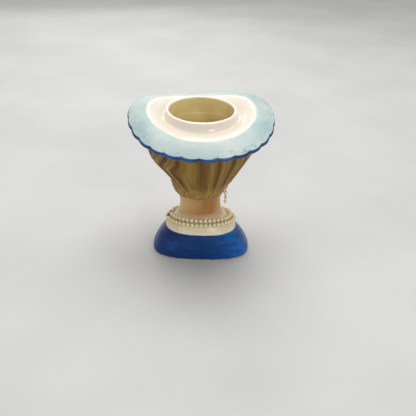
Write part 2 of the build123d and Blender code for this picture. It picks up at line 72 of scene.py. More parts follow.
# Head
head_height = 96 * mm
head_half_width = 27 * mm
head_front_depth = 31.8 * mm
head_back_depth = 30 * mm
head_wall = 3.4 * mm
head_shift = 2.8 * mm
head_turn = 10
head_rows = 200
head_inner_rows = 60
head_columns = 300
seat_depth = 0.4 * mm
nose_half_width = 5.6 * mm
nose_reach = 8 * mm
lip_half_width = 7.6 * mm
lip_reach = 1.9 * mm
chin_reach = 1.4 * mm
lid_reach = 1.7 * mm
socket_depth = 1.5 * mm
brow_reach = 0.9 * mm
cheek_reach = 0.9 * mm
eye_half_width = 6 * mm
# Painted shadow under the hair: an orange brown patch on the back of the neck, at this bearing
# and spread.
under_hair_shadow = (196, 1.05)
lobe_half_width = 1.9 * mm
lobe_half_height = 3.4 * mm
lobe_half_depth = 2.4 * mm
lobe_stand_out = 1.3 * mm
lobe_share = 0.25
lobe_bearing = -97

# Hair
hair_height = 78 * mm
hair_left_reach = 47.5 * mm
hair_right_reach = 49 * mm
hair_front_reach = 35.5 * mm
hair_back_reach = 35 * mm
hair_tuck = 0.8 * mm
nape_roll = 5 * mm
nape_reach = 1.6 * mm
hair_base = bust_height + head_height - hair_height
strand_relief = 0.12
ripple_relief = 0.55
curl_relief = 0.35
hair_outer_rows = 150
hair_roll_rows = 8
hair_inner_rows = 40
hair_columns = 420
hair_row_crowding = 1.15
hair_seat_climb = 0.9

# Hat
brim_half_width = 64.2 * mm
brim_half_depth = 67 * mm
brim_thickness = 3 * mm
brim_crest_height = 135.7 * mm
brim_crest_share = 0.73
brim_roll = 8.3 * mm
brim_saddle = 4.25 * mm
brim_front_dip = 2.3 * mm
brim_front_sag = 1.5 * mm
brim_turn = 8
saddle_start_share = 0.62
hat_tilt = 7.8
scallops = 27
scallop_columns = 14
scallop_depth = 1.5 * mm
scallop_crest_out, scallop_gap_in = 0.52, 0.33
scallop_roundness = 0.7
scallop_droop = 0.55 * mm
scallop_droop_level = 0.6
mouth_half_width = 28.4 * mm
mouth_half_depth = 24.4 * mm
mouth_height = 139.7 * mm
collar_wall = 3.5 * mm
collar_height = 9.8 * mm
collar_sweep = 9.5 * mm
collar_flare = 0.3 * mm
collar_wall_share, collar_valley_share = 0.62, 0.42
lip_round = 1.5 * mm
edge_round = 0.7 * mm
hat_root = 3 * mm
# Painted shade: the brim is darker on its side at the figure's back, at this bearing and spread.
shaded_side = (178, 0.55)
cream_half_width = 48.3 * mm
cream_half_depth = 46 * mm

# Necklace
pearl_diameter = 4 * mm
pearl_gap = 0.12 * mm
pearl_seat = 0.18 * mm
necklace_below_neck = 3.2 * mm
necklace_front_drop = 9 * mm
strand_clearance = 0.25 * mm
strand_spread = 1.6 * mm
clasp_bearing = 84
clasp_bar_width = 1.6 * mm
clasp_gap = 2.2 * mm
pearl_dimple = 0.16

# Earring
wire_radius = 0.3 * mm
eye_radius = 0.95 * mm
hook_drop = 2.64 * mm
hook_bend = 0.3 * mm
hook_shoulder = 0.9 * mm
hook_flat = 1.2 * mm
bead_radius = 2 * mm
bead_squash = 0.94
drop_radius = 1.55 * mm
drop_tab = 1.2 * mm
drop_tab_drop = 0.75 * mm
drop_loop_radius = 0.62 * mm
drop_loop_wire = 0.22 * mm
turned_columns = 32

# Bust outline from the foot up: share of its height, then shares of its half
# width, front depth and back depth, and the squareness of the oval.
bust_shares = (
    (0.000, 0.980, 0.955, 0.974, 2.5),
    (0.071, 1.000, 0.975, 0.993, 2.5),
    (0.190, 0.985, 1.000, 1.000, 2.5),
    (0.417, 0.877, 0.985, 0.985, 2.4),
    (0.643, 0.707, 0.890, 0.930, 2.3),
    (0.810, 0.582, 0.765, 0.830, 2.2),
    (0.929, 0.481, 0.655, 0.722, 2.1),
    (1.000, 0.435, 0.607, 0.674, 2.0),
)

# Head outline from the neck up: share of its height, then shares of its half
# width, front depth, back depth, shift and turn.
head_shares = (
    (0.000, 0.737, 0.572, 0.607, 0.46, 0.0),
    (0.031, 0.711, 0.550, 0.587, 0.50, 0.1),
    (0.065, 0.700, 0.600, 0.577, 0.56, 0.5),
    (0.090, 0.692, 0.830, 0.573, 0.62, 0.9),
    (0.115, 0.697, 0.925, 0.573, 0.68, 1.0),
    (0.146, 0.717, 0.950, 0.577, 0.72, 1.0),
    (0.188, 0.762, 0.958, 0.597, 0.78, 1.0),
    (0.232, 0.828, 0.965, 0.627, 0.85, 1.0),
    (0.278, 0.888, 0.980, 0.680, 0.91, 1.0),
    (0.339, 0.952, 0.985, 0.780, 0.96, 1.0),
    (0.385, 0.982, 0.980, 0.850, 0.98, 1.0),
    (0.427, 0.996, 0.970, 0.900, 1.00, 1.0),
    (0.458, 1.000, 0.968, 0.935, 1.00, 1.0),
    (0.490, 1.000, 0.975, 0.962, 1.00, 1.0),
    (0.521, 1.000, 0.988, 0.983, 1.00, 1.0),
    (0.583, 1.000, 1.000, 1.000, 1.00, 1.0),
    (0.667, 1.005, 0.975, 1.000, 1.00, 0.8),
    (0.760, 1.045, 0.925, 0.980, 1.00, 0.5),
    (0.854, 1.130, 0.892, 0.950, 1.00, 0.2),
    (1.000, 1.181, 0.877, 0.930, 1.00, 0.0),
)

# Features of the face, by the classic thirds of a head. A level is a share of
# the head's height, and each feature fades over a spread of levels.
nose_rise_shares = (
    (0.260, 0.02),
    (0.278, 0.62),
    (0.301, 1.00),
    (0.339, 0.84),
    (0.385, 0.56),
    (0.427, 0.34),
    (0.458, 0.20),
    (0.490, 0.10),
    (0.521, 0.00),
)
eye_aside = 2 * nose_half_width
cheek_aside = 1.6 * eye_aside
upper_lip_level, upper_lip_spread = 0.208, 0.014
bow_rise, bow_aside, bow_spread = 0.006, 2.4 * mm, 2 * mm
mouth_level, mouth_curve, mouth_depth = 0.191, 0.003, 1.1 * mm
lid_crease_level, lid_crease_rise, lid_crease_depth = 0.478, 0.012, 0.55 * mm
crease_spread = 0.005

# Level, its spread, distance from the middle, its spread, and reach.
middle_features = (
    (0.288, 0.017, 4.1 * mm, 2 * mm, 1.7 * mm),  # wings of the nose
    (0.268, 0.008, 2.6 * mm, 1.3 * mm, -1.2 * mm),  # nostrils
    (0.235, 0.012, 0, 1.4 * mm, -0.5 * mm),  # groove under the nose
    (0.172, 0.016, 0, 0.8 * lip_half_width, lip_reach),  # lower lip
    (0.145, 0.012, 0, lip_half_width, -0.9 * mm),  # fold over the chin
    (0.110, 0.030, 0, lip_half_width, chin_reach),  # chin
)
side_features = (
    (0.462, 0.045, eye_aside, nose_half_width, -socket_depth),  # sockets
    (0.455, 0.024, eye_aside, 0.9 * nose_half_width, lid_reach),  # lids
    (0.512, 0.020, eye_aside, nose_half_width, brow_reach),  # brows
    (0.325, 0.070, cheek_aside, eye_aside, cheek_reach),  # cheeks
)

# Paint on the face: levels of its edges and lines, how they curve, and softness.
lip_paint_low, lip_paint_low_curve = 0.157, 0.028
lip_paint_high, lip_paint_high_curve, lip_paint_dip = 0.222, 0.022, 0.004
lip_paint_softness = 0.006
lash_level, lash_curve, lash_spread, lash_reach = 0.437, 0.011, 0.0042, 6.6 * mm
lash_groove_offset, lash_groove_depth = 0.004, 0.4 * mm
brow_level, brow_arch, brow_reach_out = 0.528, 0.016, 8.5 * mm
brow_thickness, brow_tip, brow_taper_length = 0.0062, 0.001, 9 * mm
blush_level, blush_spread = 0.33, 0.055

# Hair outline from the nape up: share of the height from the nape to the top
# of the head, then shares of its left, right, front and back reach, and the
# squareness of the front half.
hair_shares = (
    (0.000, 0.300, 0.300, 0.110, 0.530, 2.0),
    (0.050, 0.395, 0.420, 0.170, 0.618, 2.2),
    (0.120, 0.470, 0.530, 0.250, 0.725, 2.5),
    (0.220, 0.590, 0.655, 0.330, 0.835, 2.7),
    (0.320, 0.715, 0.765, 0.365, 0.900, 2.9),
    (0.420, 0.880, 0.875, 0.385, 0.945, 2.9),
    (0.500, 0.955, 0.960, 0.520, 0.970, 2.7),
    (0.570, 0.990, 1.000, 0.820, 0.985, 2.4),
    (0.660, 0.995, 0.985, 0.975, 1.000, 2.2),
    (0.760, 0.950, 0.925, 1.000, 0.990, 2.1),
    (0.880, 0.870, 0.840, 0.960, 0.955, 2.0),
    (1.000, 0.800, 0.775, 0.930, 0.920, 2.0),
)

# Where the locks swing wide, as bearing and spread: left, right and front. The
# two rows after it give a share everywhere, then one more for each of these.
lock_sides = ((122, 0.6), (240, 0.6), (0, 0.9))
lock_swings = (0.012, 0.12, 0.02, 0.08)
lock_depths = (0.5, 1.5, 0.35, 0.6)
lock_pitch, minor_lock_pitch, strand_pitch = 8.5, 19, 61

# Waves of the locks from the nape to the top, and how deep and narrow grooves are.
lock_waves, nape_waves, curl_waves, ripple_waves = 1.7, 5, 4, 1.9
lock_groove_depth, lock_groove_narrowness = 0.8, 5
minor_groove_depth, minor_groove_narrowness = 0.3, 3
nape_climbs = (0.14, 0.34)

# Glazes and finishes, as the eye sees them: (share of the pattern, colour).
brim_blues = (
    (0.3, (0.66, 0.75, 0.75)),
    (0.48, (0.74, 0.81, 0.79)),
    (0.68, (0.81, 0.84, 0.80)),
)
brim_streak = (0.62, 0.73, 0.76)
# Painted shade on the brim at the figure's back.
brim_painted_shade = (0.56, 0.65, 0.66)
brim_dash = (0.45, 0.58, 0.64)
brim_under = ((0.3, (0.70, 0.77, 0.76)), (0.7, (0.80, 0.82, 0.78)))
edge_blues = ((0.35, (0.0, 0.17, 0.38)), (0.7, (0.0, 0.34, 0.60)))
well_creams = ((0.35, (0.96, 0.94, 0.87)), (0.65, (0.96, 0.91, 0.85)))
# Painted shade in the valley round the collar.
well_painted_shade = (0.84, 0.79, 0.71)
inside_tans = ((0.3, (0.87, 0.78, 0.54)), (0.7, (0.95, 0.88, 0.66)))
hair_browns = (
    (0.28, (0.38, 0.25, 0.08)),
    (0.5, (0.48, 0.35, 0.14)),
    (0.7, (0.57, 0.44, 0.19)),
    (0.92, (0.70, 0.58, 0.30)),
)
# Painted highlight: lighter golden streaks towards the nape.
hair_painted_highlight = (0.74, 0.62, 0.33)
flesh_tones = (
    (0.3, (0.83, 0.66, 0.50)),
    (0.55, (0.87, 0.72, 0.56)),
    (0.75, (0.89, 0.76, 0.61)),
)
nape_tans = ((0.3, (0.86, 0.71, 0.45)), (0.7, (0.92, 0.80, 0.55)))
# Painted shadow under the hair, on the back of the neck.
shadow_browns = ((0.3, (0.60, 0.38, 0.14)), (0.7, (0.65, 0.43, 0.18)))
face_paints = (
    ("blush", 0.36, (0.87, 0.50, 0.40)),
    ("lips", 1.0, (0.64, 0.22, 0.18)),
    ("brow", 1.0, (0.38, 0.25, 0.12)),
    ("lash", 1.0, (0.13, 0.09, 0.07)),
)
dress_blues = (
    (0.3, (0.0, 0.14, 0.36)),
    (0.52, (0.0, 0.20, 0.45)),
    (0.74, (0.0, 0.29, 0.56)),
)
# Painted light on the dress's lit side.
dress_painted_light = (0.02, 0.41, 0.74)
shoulder_creams = ((0.32, (0.91, 0.84, 0.70)), (0.66, (0.96, 0.92, 0.81)))
shoulder_nape = (0.85, 0.71, 0.52)
bare_creams = ((0.3, (0.80, 0.73, 0.63)), (0.7, (0.88, 0.82, 0.73)))
pearl_creams = ((0.3, (0.98, 0.93, 0.74)), (0.7, (1.0, 0.97, 0.86)))
pearl_warm = (0.93, 0.81, 0.52)
# Painted shade round each bead's rim.
pearl_rim_shade = (0.74, 0.57, 0.24)
dark_metal_tones = ((0.35, (0.10, 0.07, 0.05)), (0.65, (0.24, 0.17, 0.11)))
gilt_tones = ((0.35, (0.62, 0.45, 0.20)), (0.65, (0.88, 0.71, 0.38)))
thread_tones = ((0.4, (0.72, 0.66, 0.55)), (0.6, (0.90, 0.87, 0.80)))
floor_greys = ((0.3, (0.80, 0.80, 0.79)), (0.7, (0.83, 0.83, 0.82)))


def oval_place(bearing, left, right, front, back, front_square, back_square):
    """Place on a soft oval at a bearing."""
    aside = math.sin(bearing)
    ahead = math.cos(bearing)
    square = front_square if ahead > 0 else back_square
    scale = (abs(aside) ** square + abs(ahead) ** square) ** (-1 / square)
    side = left if aside > 0 else right
    depth = front if ahead > 0 else back
    return aside * scale * side, -ahead * scale * depth


def turned(place, angle):
    """Place turned about the figure's axis, anticlockwise from above."""
    swing = math.radians(angle)
    x, y = place
    return x * math.cos(swing) - y * math.sin(swing), x * math.sin(swing) + y * math.cos(swing)


def smooth_row(table, share):
    """Row of a table at any height share, on a smooth curve through its rows."""
    last = len(table) - 1
    low = max(i for i in range(last) if table[i][0] <= share or i == 0)
    start, end = table[low], table[low + 1]
    span = end[0] - start[0]
    part = (share - start[0]) / span
    square, cube = part**2, part**3
    before = table[max(low - 1, 0)]
    after = table[min(low + 2, last)]
    row = [share]
    for column in range(1, len(start)):
        lead = (end[column] - before[column]) / (end[0] - before[0]) * span
        trail = (after[column] - start[column]) / (after[0] - start[0]) * span
        row.append(
            (2 * cube - 3 * square + 1) * start[column]
            + (cube - 2 * square + part) * lead
            + (3 * square - 2 * cube) * end[column]
            + (cube - square) * trail
        )
    return row


def fade(distance, spread):
    """Soft bump: one at no distance, fading over the spread."""
    return math.exp(-((distance / spread) ** 2))


def ease(value, low, high):
    """Smooth climb from zero at low to one at high."""
    part = min(1, max(0, (value - low) / (high - low)))
    return part * part * (3 - 2 * part)


def off_bearing(bearing, middle):
    """Angle from a middle bearing, given in degrees, the short way round."""
    return (bearing - math.radians(middle) + math.pi) % math.tau - math.pi


def bust_place(share, bearing, inset):
    """Place on the bust at a share of its height, drawn in by inset."""
    _, width, front, back, square = smooth_row(bust_shares, share)
    side = width * bust_half_width - inset
    ahead = front * bust_front_depth - inset
    behind = back * bust_back_depth - inset
    x, y = oval_place(bearing, side, side, ahead, behind, square, square)
    return x + head_shift * head_shares[0][4] * share**2, y


def feature_relief(features, level, aside):
    """How far a list of features stands out at a level and a distance from the middle."""
    return sum(
        reach * fade(level - at, spread) * fade(aside - out, width)
        for at, spread, out, width, reach in features
    )


def mouth_relief(level, aside):
    """How far the upper lip stands out over the mouth's line, and the share of lip paint."""
    width = aside / lip_half_width
    bow = bow_rise * fade(abs(aside) - bow_aside, bow_spread)
    relief = lip_reach * fade(level - upper_lip_level - bow, upper_lip_spread) * fade(width, 1)
    line = mouth_level + mouth_curve * math.cos(math.pi * width)
    relief -= mouth_depth * fade(level - line, crease_spread) * fade(width, 1.05)
    low = lip_paint_low + lip_paint_low_curve * width**2
    high = lip_paint_high + bow - lip_paint_high_curve * width**2
    high -= lip_paint_dip * fade(aside, 1.2 * mm)
    lips = ease(1.02 * lip_half_width - abs(aside), 0, 1.2 * mm)
    lips *= ease(level, low, low + lip_paint_softness)
    return relief, lips * ease(high - level, 0, lip_paint_softness)


def face_relief(level, bearing):
    """How far the features stand out, and the shares of lip, brow, lash and blush paint."""
    aside = bearing * head_front_depth
    relief, lips = mouth_relief(level, aside)
    relief += feature_relief(middle_features, level, abs(aside))
    if nose_rise_shares[0][0] <= level <= nose_rise_shares[-1][0]:
        rise = smooth_row(nose_rise_shares, level)[1]
        relief += nose_reach * rise * fade(aside, nose_half_width * (0.5 + 0.4 * rise))
    brow = lash = blush = 0.0
    for side in (-1, 1):
        relief += feature_relief(side_features, level, aside * side)
        eye = aside * side - eye_aside
        eye_fade = fade(eye, eye_half_width)
        crease = level - lid_crease_level - lid_crease_rise * fade(eye, 5 * mm)
        relief -= lid_crease_depth * fade(crease, crease_spread) * eye_fade
        lash_line = level - lash_level - lash_curve * (eye / eye_half_width) ** 2
        groove = fade(lash_line + lash_groove_offset, crease_spread)
        relief -= lash_groove_depth * groove * eye_fade
        lash_end = ease(lash_reach - abs(eye), 0, 1.5 * mm)
        lash = max(lash, fade(lash_line, lash_spread) * lash_end)
        arch = level - brow_level - brow_arch * math.cos((eye - 1.5 * mm) / (6.5 * mm))
        taper = brow_thickness * ease(brow_taper_length - eye, 0, brow_taper_length) + brow_tip
        brow_end = ease(brow_reach_out - abs(eye - 0.5 * mm), 0, 2 * mm)
        brow = max(brow, fade(arch, taper) * brow_end)
        cheek = fade(aside * side - cheek_aside, 0.7 * eye_aside)
        blush = max(blush, fade(level - blush_level, blush_spread) * cheek)
    return relief, {"lips": lips, "brow": brow, "lash": lash, "blush": blush}


def head_place(share, bearing, inset, relief=0.0):
    """Place on the head at a share of its height, drawn in by inset."""
    share, width, front, back, shift, turn = smooth_row(head_shares, share)
    side = width * head_half_width - inset
    ahead = front * head_front_depth - inset
    behind = back * head_back_depth - inset
    x, y = oval_place(bearing, side, side, ahead, behind, 2 + 0.35 * turn, 2)
    stretch = 1 + relief / math.hypot(x, y)
    x, y = turned((x * stretch, y * stretch), turn * head_turn)
    return x + shift * head_shift, y


def head_side(height, bearing, inset):
    """Place on the head at a height, drawn in by inset."""
    return head_place((height - bust_height) / head_height, bearing, inset)


def hair_side(height, bearing):
    """Place on the hair's outside, before its locks."""
    share = (height - hair_base) / hair_height
    share, left, right, front, back, square = smooth_row(hair_shares, share)
    x, y = oval_place(
        bearing,
        left * hair_left_reach,
        right * hair_right_reach,
        front * hair_front_reach,
        back * hair_back_reach,
        square,
        2,
    )
    x, y = turned((x, y), head_turn)
    return x + head_shift, y


def brim_height(x, y):
    """Height of the brim's upper side over a place in plan."""
    u, v = turned((x - head_shift, y), -brim_turn)
    share = math.hypot(u / brim_half_width, v / brim_half_depth)
    bearing = math.atan2(u, -v)
    roll = brim_roll * (1 - math.cos(math.pi * (share / brim_crest_share - 1)))
    saddle = brim_saddle * math.cos(2 * bearing)
    saddle *= 1 - math.exp(-((share / saddle_start_share) ** 8))
    dip = brim_front_dip * math.cos(3 * bearing) + brim_front_sag * fade(bearing, 0.5)
    tilt = y * math.tan(math.radians(hat_tilt))
    return brim_crest_height - roll - saddle - dip * share**3 - tilt


def top_height(side, bearing, *inset):
    """Height at which a side that climbs at a bearing meets the brim's underside."""
    height = bust_height + head_height
    for _ in range(4):
        height = brim_height(*side(height, bearing, *inset)) - brim_thickness
    return height


def mouth_place(bearing, outset):
    """Place on the mouth's oval in plan, set out from its inside."""
    x = (mouth_half_width + outset) * math.sin(bearing)
    return x + head_shift, -(mouth_half_depth + outset) * math.cos(bearing)


def rolled_grid(name, columns, rows, shape):
    """Grid rolled up into a closed skin.

    shape(row, bearing) gives a point's place and its marks.
    """
    bpy.ops.object.select_all(action="DESELECT")
    bpy.ops.mesh.primitive_grid_add(x_subdivisions=columns, y_subdivisions=rows - 1, size=1)
    piece = bpy.context.object
    piece.name = name
    piece.data.name = name
    found = {}
    for vertex in piece.data.vertices:
        column = round((vertex.co.x + 0.5) * columns)
        row = round((vertex.co.y + 0.5) * (rows - 1))
        vertex.co, marks = shape(row, math.tau * column / columns)
        for mark, value in marks.items():
            found.setdefault(mark, []).append(value)
    for mark, values in found.items():
        if isinstance(values[0], tuple):
            attribute = piece.data.attributes.new(mark, "FLOAT_VECTOR", "POINT")
            attribute.data.foreach_set("vector", [part for value in values for part in value])
        else:
            attribute = piece.data.attributes.new(mark, "FLOAT", "POINT")
            attribute.data.foreach_set("value", values)
    bpy.ops.object.mode_set(mode="EDIT")
    bpy.ops.mesh.select_all(action="SELECT")
    bpy.ops.mesh.remove_doubles(threshold=0.002 * mm)
    bpy.ops.mesh.normals_make_consistent(inside=False)
    bpy.ops.object.mode_set(mode="OBJECT")
    bpy.ops.object.shade_smooth()
    return piece


def lay(bearing, along):
    """Mark that painted streaks follow: round the piece without a seam, and along it."""
    return math.cos(bearing), math.sin(bearing), along


def dress(piece, material, slot, body, *nodes):
    """Give a piece its finish and its body, and hide the CAD nodes that it stands for."""
    piece.data.materials.clear()
    piece.data.materials.append(material)
    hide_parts(*nodes)
    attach(piece, body)


# Shared shader parts


def paint(red, green, blue):
    """Colour as the eye sees it, for a shader."""
    linear = [
        part / 12.92 if part <= 0.04045 else ((part + 0.055) / 1.055) ** 2.4
        for part in (red, green, blue)
    ]
    return (*linear, 1)


def new_group(name, inputs, output):
    """Shader group that takes a vector and named numbers, each with a usual value."""
    group = bpy.data.node_groups.new(name, "ShaderNodeTree")
    group.interface.new_socket("Vector", in_out="INPUT", socket_type="NodeSocketVector")
    for label, value in inputs.items():
        socket = group.interface.new_socket(label, in_out="INPUT", socket_type="NodeSocketFloat")
        socket.default_value = value
    group.interface.new_socket(output, in_out="OUTPUT", socket_type="NodeSocketFloat")
    start = group.nodes.new("NodeGroupInput").outputs
    return group, start, group.nodes.new("NodeGroupOutput").inputs[output]


def add_noise(tree, vector, scale, detail=3.0, roughness=0.5):
    """Noise on a vector, as a value about one half."""
    noise = tree.nodes.new("ShaderNodeTexNoise")
    noise.inputs["Scale"].default_value = scale
    noise.inputs["Detail"].default_value = detail
    noise.inputs["Roughness"].default_value = roughness
    tree.links.new(vector, noise.inputs["Vector"])
    return noise.outputs["Fac"]


def add_stretched_noise(tree, vector, scales, detail, roughness=0.5):
    """Noise with a scale of its own along each axis."""
    mapping = tree.nodes.new("ShaderNodeMapping")
    mapping.inputs["Scale"].default_value = scales
    tree.links.new(vector, mapping.inputs["Vector"])
    return add_noise(tree, mapping.outputs["Vector"], 1.0, detail, roughness)


def add_math(tree, operation, values):
    """Sum or product of sockets and numbers, taken in turn."""
    result = values[0]
    for value in values[1:]:
        node = tree.nodes.new("ShaderNodeMath")
        node.operation = operation
        for socket, part in zip(node.inputs, (result, value)):
            if isinstance(part, (int, float)):
                socket.default_value = part
            else:
                tree.links.new(part, socket)
        result = node.outputs["Value"]
    return result


def add_total(tree, *values):
    """Sum of sockets and numbers."""
    return add_math(tree, "ADD", values)


def add_product(tree, *values):
    """Product of sockets and numbers."""
    return add_math(tree, "MULTIPLY", values)


def add_range(tree, value, low, high, to=(0.0, 1.0)):
    """Value eased from the range between low and high to another."""
    node = tree.nodes.new("ShaderNodeMapRange")
    node.interpolation_type = "SMOOTHSTEP"
    for label, number in zip(("From Min", "From Max", "To Min", "To Max"), (low, high, *to)):
        node.inputs[label].default_value = number
    tree.links.new(value, node.inputs["Value"])
    return node.outputs["Result"]


def add_mix(tree, share, first, second):
    """Mix of two colours, each a socket or a colour as the eye sees it."""
    node = tree.nodes.new("ShaderNodeMix")
    node.data_type = "RGBA"
    tree.links.new(share, node.inputs["Factor"])
    for socket, value in ((node.inputs[6], first), (node.inputs[7], second)):
        if isinstance(value, tuple):
            socket.default_value = paint(*value)
        else:
            tree.links.new(value, socket)
    return node.outputs[2]


def add_ramp(tree, value, stops):
    """Colour that follows a value through (place, colour) stops."""
    node = tree.nodes.new("ShaderNodeValToRGB")
    node.color_ramp.interpolation = "EASE"
    while len(node.color_ramp.elements) < len(stops):
        node.color_ramp.elements.new(0.5)
    for element, (place, colour) in zip(node.color_ramp.elements, stops):
        element.position = place
        element.color = paint(*colour)
    tree.links.new(value, node.inputs["Fac"])
    return node.outputs["Color"]


def add_clouds(tree, place, scale, stops, detail=3.0, roughness=0.5):
    """Colour that drifts through (place, colour) stops in soft clouds."""
    return add_ramp(tree, add_noise(tree, place, scale, detail, roughness), stops)


def add_ragged(tree, place, scale, reach):
    """Offset about zero that makes the edge of a painted zone ragged."""
    return add_product(tree, add_total(tree, add_noise(tree, place, scale), -0.5), reach)


def add_mark(tree, name, output="Fac"):
    """A mark that was stored on the piece's points."""
    node = tree.nodes.new("ShaderNodeAttribute")
    node.attribute_name = name
    return node.outputs[output]


def add_group(tree, group, vector, **values):
    """A shared group's result on a vector, with its own values."""
    node = tree.nodes.new("ShaderNodeGroup")
    node.node_tree = group
    tree.links.new(vector, node.inputs["Vector"])
    for label, value in values.items():
        node.inputs[label].default_value = value
    return node.outputs[0]


def add_inside(tree, place, colour, full):
    """Tan inside glaze over a colour, from the mark's value at which it is full."""
    inside = add_clouds(tree, place, 40.0, inside_tans)
    return add_mix(tree, add_range(tree, add_mark(tree, "inside"), 0.4, full), colour, inside)


def make_brush_marks():
    """Streaks of a loaded brush, long one way and fine the other."""
    group, start, end = new_group("brush_marks", {"Length": 3.0, "Fineness": 40.0}, "Streaks")
    split = group.nodes.new("ShaderNodeSeparateXYZ")
    join = group.nodes.new("ShaderNodeCombineXYZ")
    group.links.new(start["Vector"], split.inputs["Vector"])
    for axis, size in (("X", "Length"), ("Y", "Length"), ("Z", "Fineness")):
        group.links.new(add_product(group, split.outputs[axis], start[size]), join.inputs[axis])
    streaks = add_noise(group, join.outputs["Vector"], 1.0, detail=4.0, roughness=0.62)
    group.links.new(streaks, end)
    return group


def make_glaze_skin():
    """Slow ripple and small pits of a poured glaze, as a height."""
    group, start, end = new_group("glaze_skin", {"Ripple": 0.6, "Pits": 0.15}, "Height")
    slow = add_noise(group, start["Vector"], 90.0, detail=2.0)
    fine = add_noise(group, start["Vector"], 900.0, detail=2.0)
    ripple = add_product(group, slow, start["Ripple"])
    pits = add_product(group, add_range(group, fine, 0.62, 0.78, to=(0.0, -1.0)), start["Pits"])
    group.links.new(add_total(group, ripple, pits), end)
    return group


brush_marks = make_brush_marks()
glaze_skin = make_glaze_skin()


def new_finish(name, roughness, coat=0.0, coat_roughness=0.08, specular=0.5):
    """New material: its tree, its shader and object coordinates."""
    material = bpy.data.materials.new(name)
    material.use_nodes = True
    tree = material.node_tree
    shader = tree.nodes["Principled BSDF"]
    shader.inputs["Roughness"].default_value = roughness
    shader.inputs["Coat Weight"].default_value = coat
    shader.inputs["Coat Roughness"].default_value = coat_roughness
    shader.inputs["Specular IOR Level"].default_value = specular
    place = tree.nodes.new("ShaderNodeTexCoord").outputs["Object"]
    return material, tree, shader, place


def close_finish(tree, shader, colour, height, strength, depth):
    """Give a shader its colour, and a bump of some depth from a height."""
    tree.links.new(colour, shader.inputs["Base Color"])
    bump = tree.nodes.new("ShaderNodeBump")
    bump.inputs["Strength"].default_value = strength
    bump.inputs["Distance"].default_value = depth
    tree.links.new(height, bump.inputs["Height"])
    tree.links.new(bump.outputs["Normal"], shader.inputs["Normal"])


def make_hat_glaze():
    """Pale blue green brushed brim, cream well and lip, royal blue edge, tan inside."""
    material, tree, shader, place = new_finish(
        "hat_glaze", roughness=0.34, coat=0.5, coat_roughness=0.1
    )
    flow = add_mark(tree, "lay", "Vector")
    cream_mark = add_mark(tree, "cream")
    streaks = add_group(tree, brush_marks, flow, Length=5.0, Fineness=26.0)
    clouds = add_noise(tree, place, 34.0, detail=4.0, roughness=0.6)
    brim = add_ramp(tree, clouds, brim_blues)
    streak_share = add_range(tree, streaks, 0.5, 0.72, to=(0.0, 0.55))
    brim = add_mix(tree, streak_share, brim, brim_streak)
    # Painted shade darkens the brim at the figure's back.
    brim = add_mix(tree, add_mark(tree, "near"), brim, brim_painted_shade)
    dashes = add_stretched_noise(tree, flow, (8, 8, 12), detail=3.0, roughness=0.55)
    dashes = add_range(tree, dashes, 0.55, 0.66, to=(0.0, 0.8))
    near_edge = add_range(tree, add_mark(tree, "out"), 0.72, 0.97)
    brim = add_mix(tree, add_product(tree, dashes, near_edge), brim, brim_dash)
    cream = add_clouds(tree, place, 26.0, well_creams, detail=2.0)
    # Painted shade in the valley round the collar's foot.
    cream = add_mix(tree, add_mark(tree, "valley"), cream, well_painted_shade)
    wobble = add_product(tree, add_noise(tree, place, 60.0, detail=2.0), 0.05)
    cream_share = add_range(tree, add_total(tree, cream_mark, wobble), 0.01, 0.05)
    colour = add_mix(tree, cream_share, brim, cream)
    edge = add_total(tree, add_mark(tree, "edge"), add_ragged(tree, place, 260.0, 0.5))
    blue = add_clouds(tree, place, 120.0, edge_blues)
    colour = add_mix(tree, add_range(tree, edge, 0.42, 0.58), colour, blue)
    under_share = add_range(tree, add_mark(tree, "under"), 0.4, 0.6)
    colour = add_mix(tree, under_share, colour, add_ramp(tree, clouds, brim_under))
    colour = add_inside(tree, place, colour, 0.7)
    for label, values in (("Roughness", (0.48, 0.24)), ("Coat Weight", (0.12, 0.5))):
        gloss = add_range(tree, cream_mark, 0.0, 0.06, to=values)
        tree.links.new(gloss, shader.inputs[label])
    skin = add_group(tree, glaze_skin, place, Ripple=0.5, Pits=0.1)
    height = add_total(tree, skin, add_product(tree, streaks, 0.35))
    close_finish(tree, shader, colour, height, 0.35, 0.3 * mm)
    return material


def make_hair_glaze():
    """Golden brown glaze, with painted shade between the locks and painted highlights near the
    nape.
    """
    material, tree, shader, place = new_finish(
        "hair_glaze", roughness=0.5, coat=0.12, coat_roughness=0.22, specular=0.2
    )
    flow = add_mark(tree, "lay", "Vector")
    strands = add_stretched_noise(tree, flow, (46, 46, 1.8), detail=4.0, roughness=0.7)
    broad = add_stretched_noise(tree, flow, (9, 9, 2.2), detail=2.0)
    tone = add_total(
        tree,
        add_product(tree, add_range(tree, strands, 0.3, 0.7), 0.24),
        add_product(tree, broad, 0.3),
        # Painted shade: darker in the grooves between the locks, lighter on the curls.
        add_product(tree, add_mark(tree, "painted_lock_shade"), 0.5),
    )
    # Painted highlight: lighter golden streaks on the lower hair towards the nape.
    light = add_range(tree, strands, 0.35, 0.65, to=(0.3, 0.75))
    light = add_product(tree, add_mark(tree, "nape"), light)
    colour = add_mix(tree, light, add_ramp(tree, tone, hair_browns), hair_painted_highlight)
    skin = add_group(tree, glaze_skin, place, Ripple=0.25, Pits=0.05)
    height = add_total(tree, add_product(tree, strands, 1.6), skin)
    close_finish(tree, shader, colour, height, 0.55, 0.4 * mm)
    return material


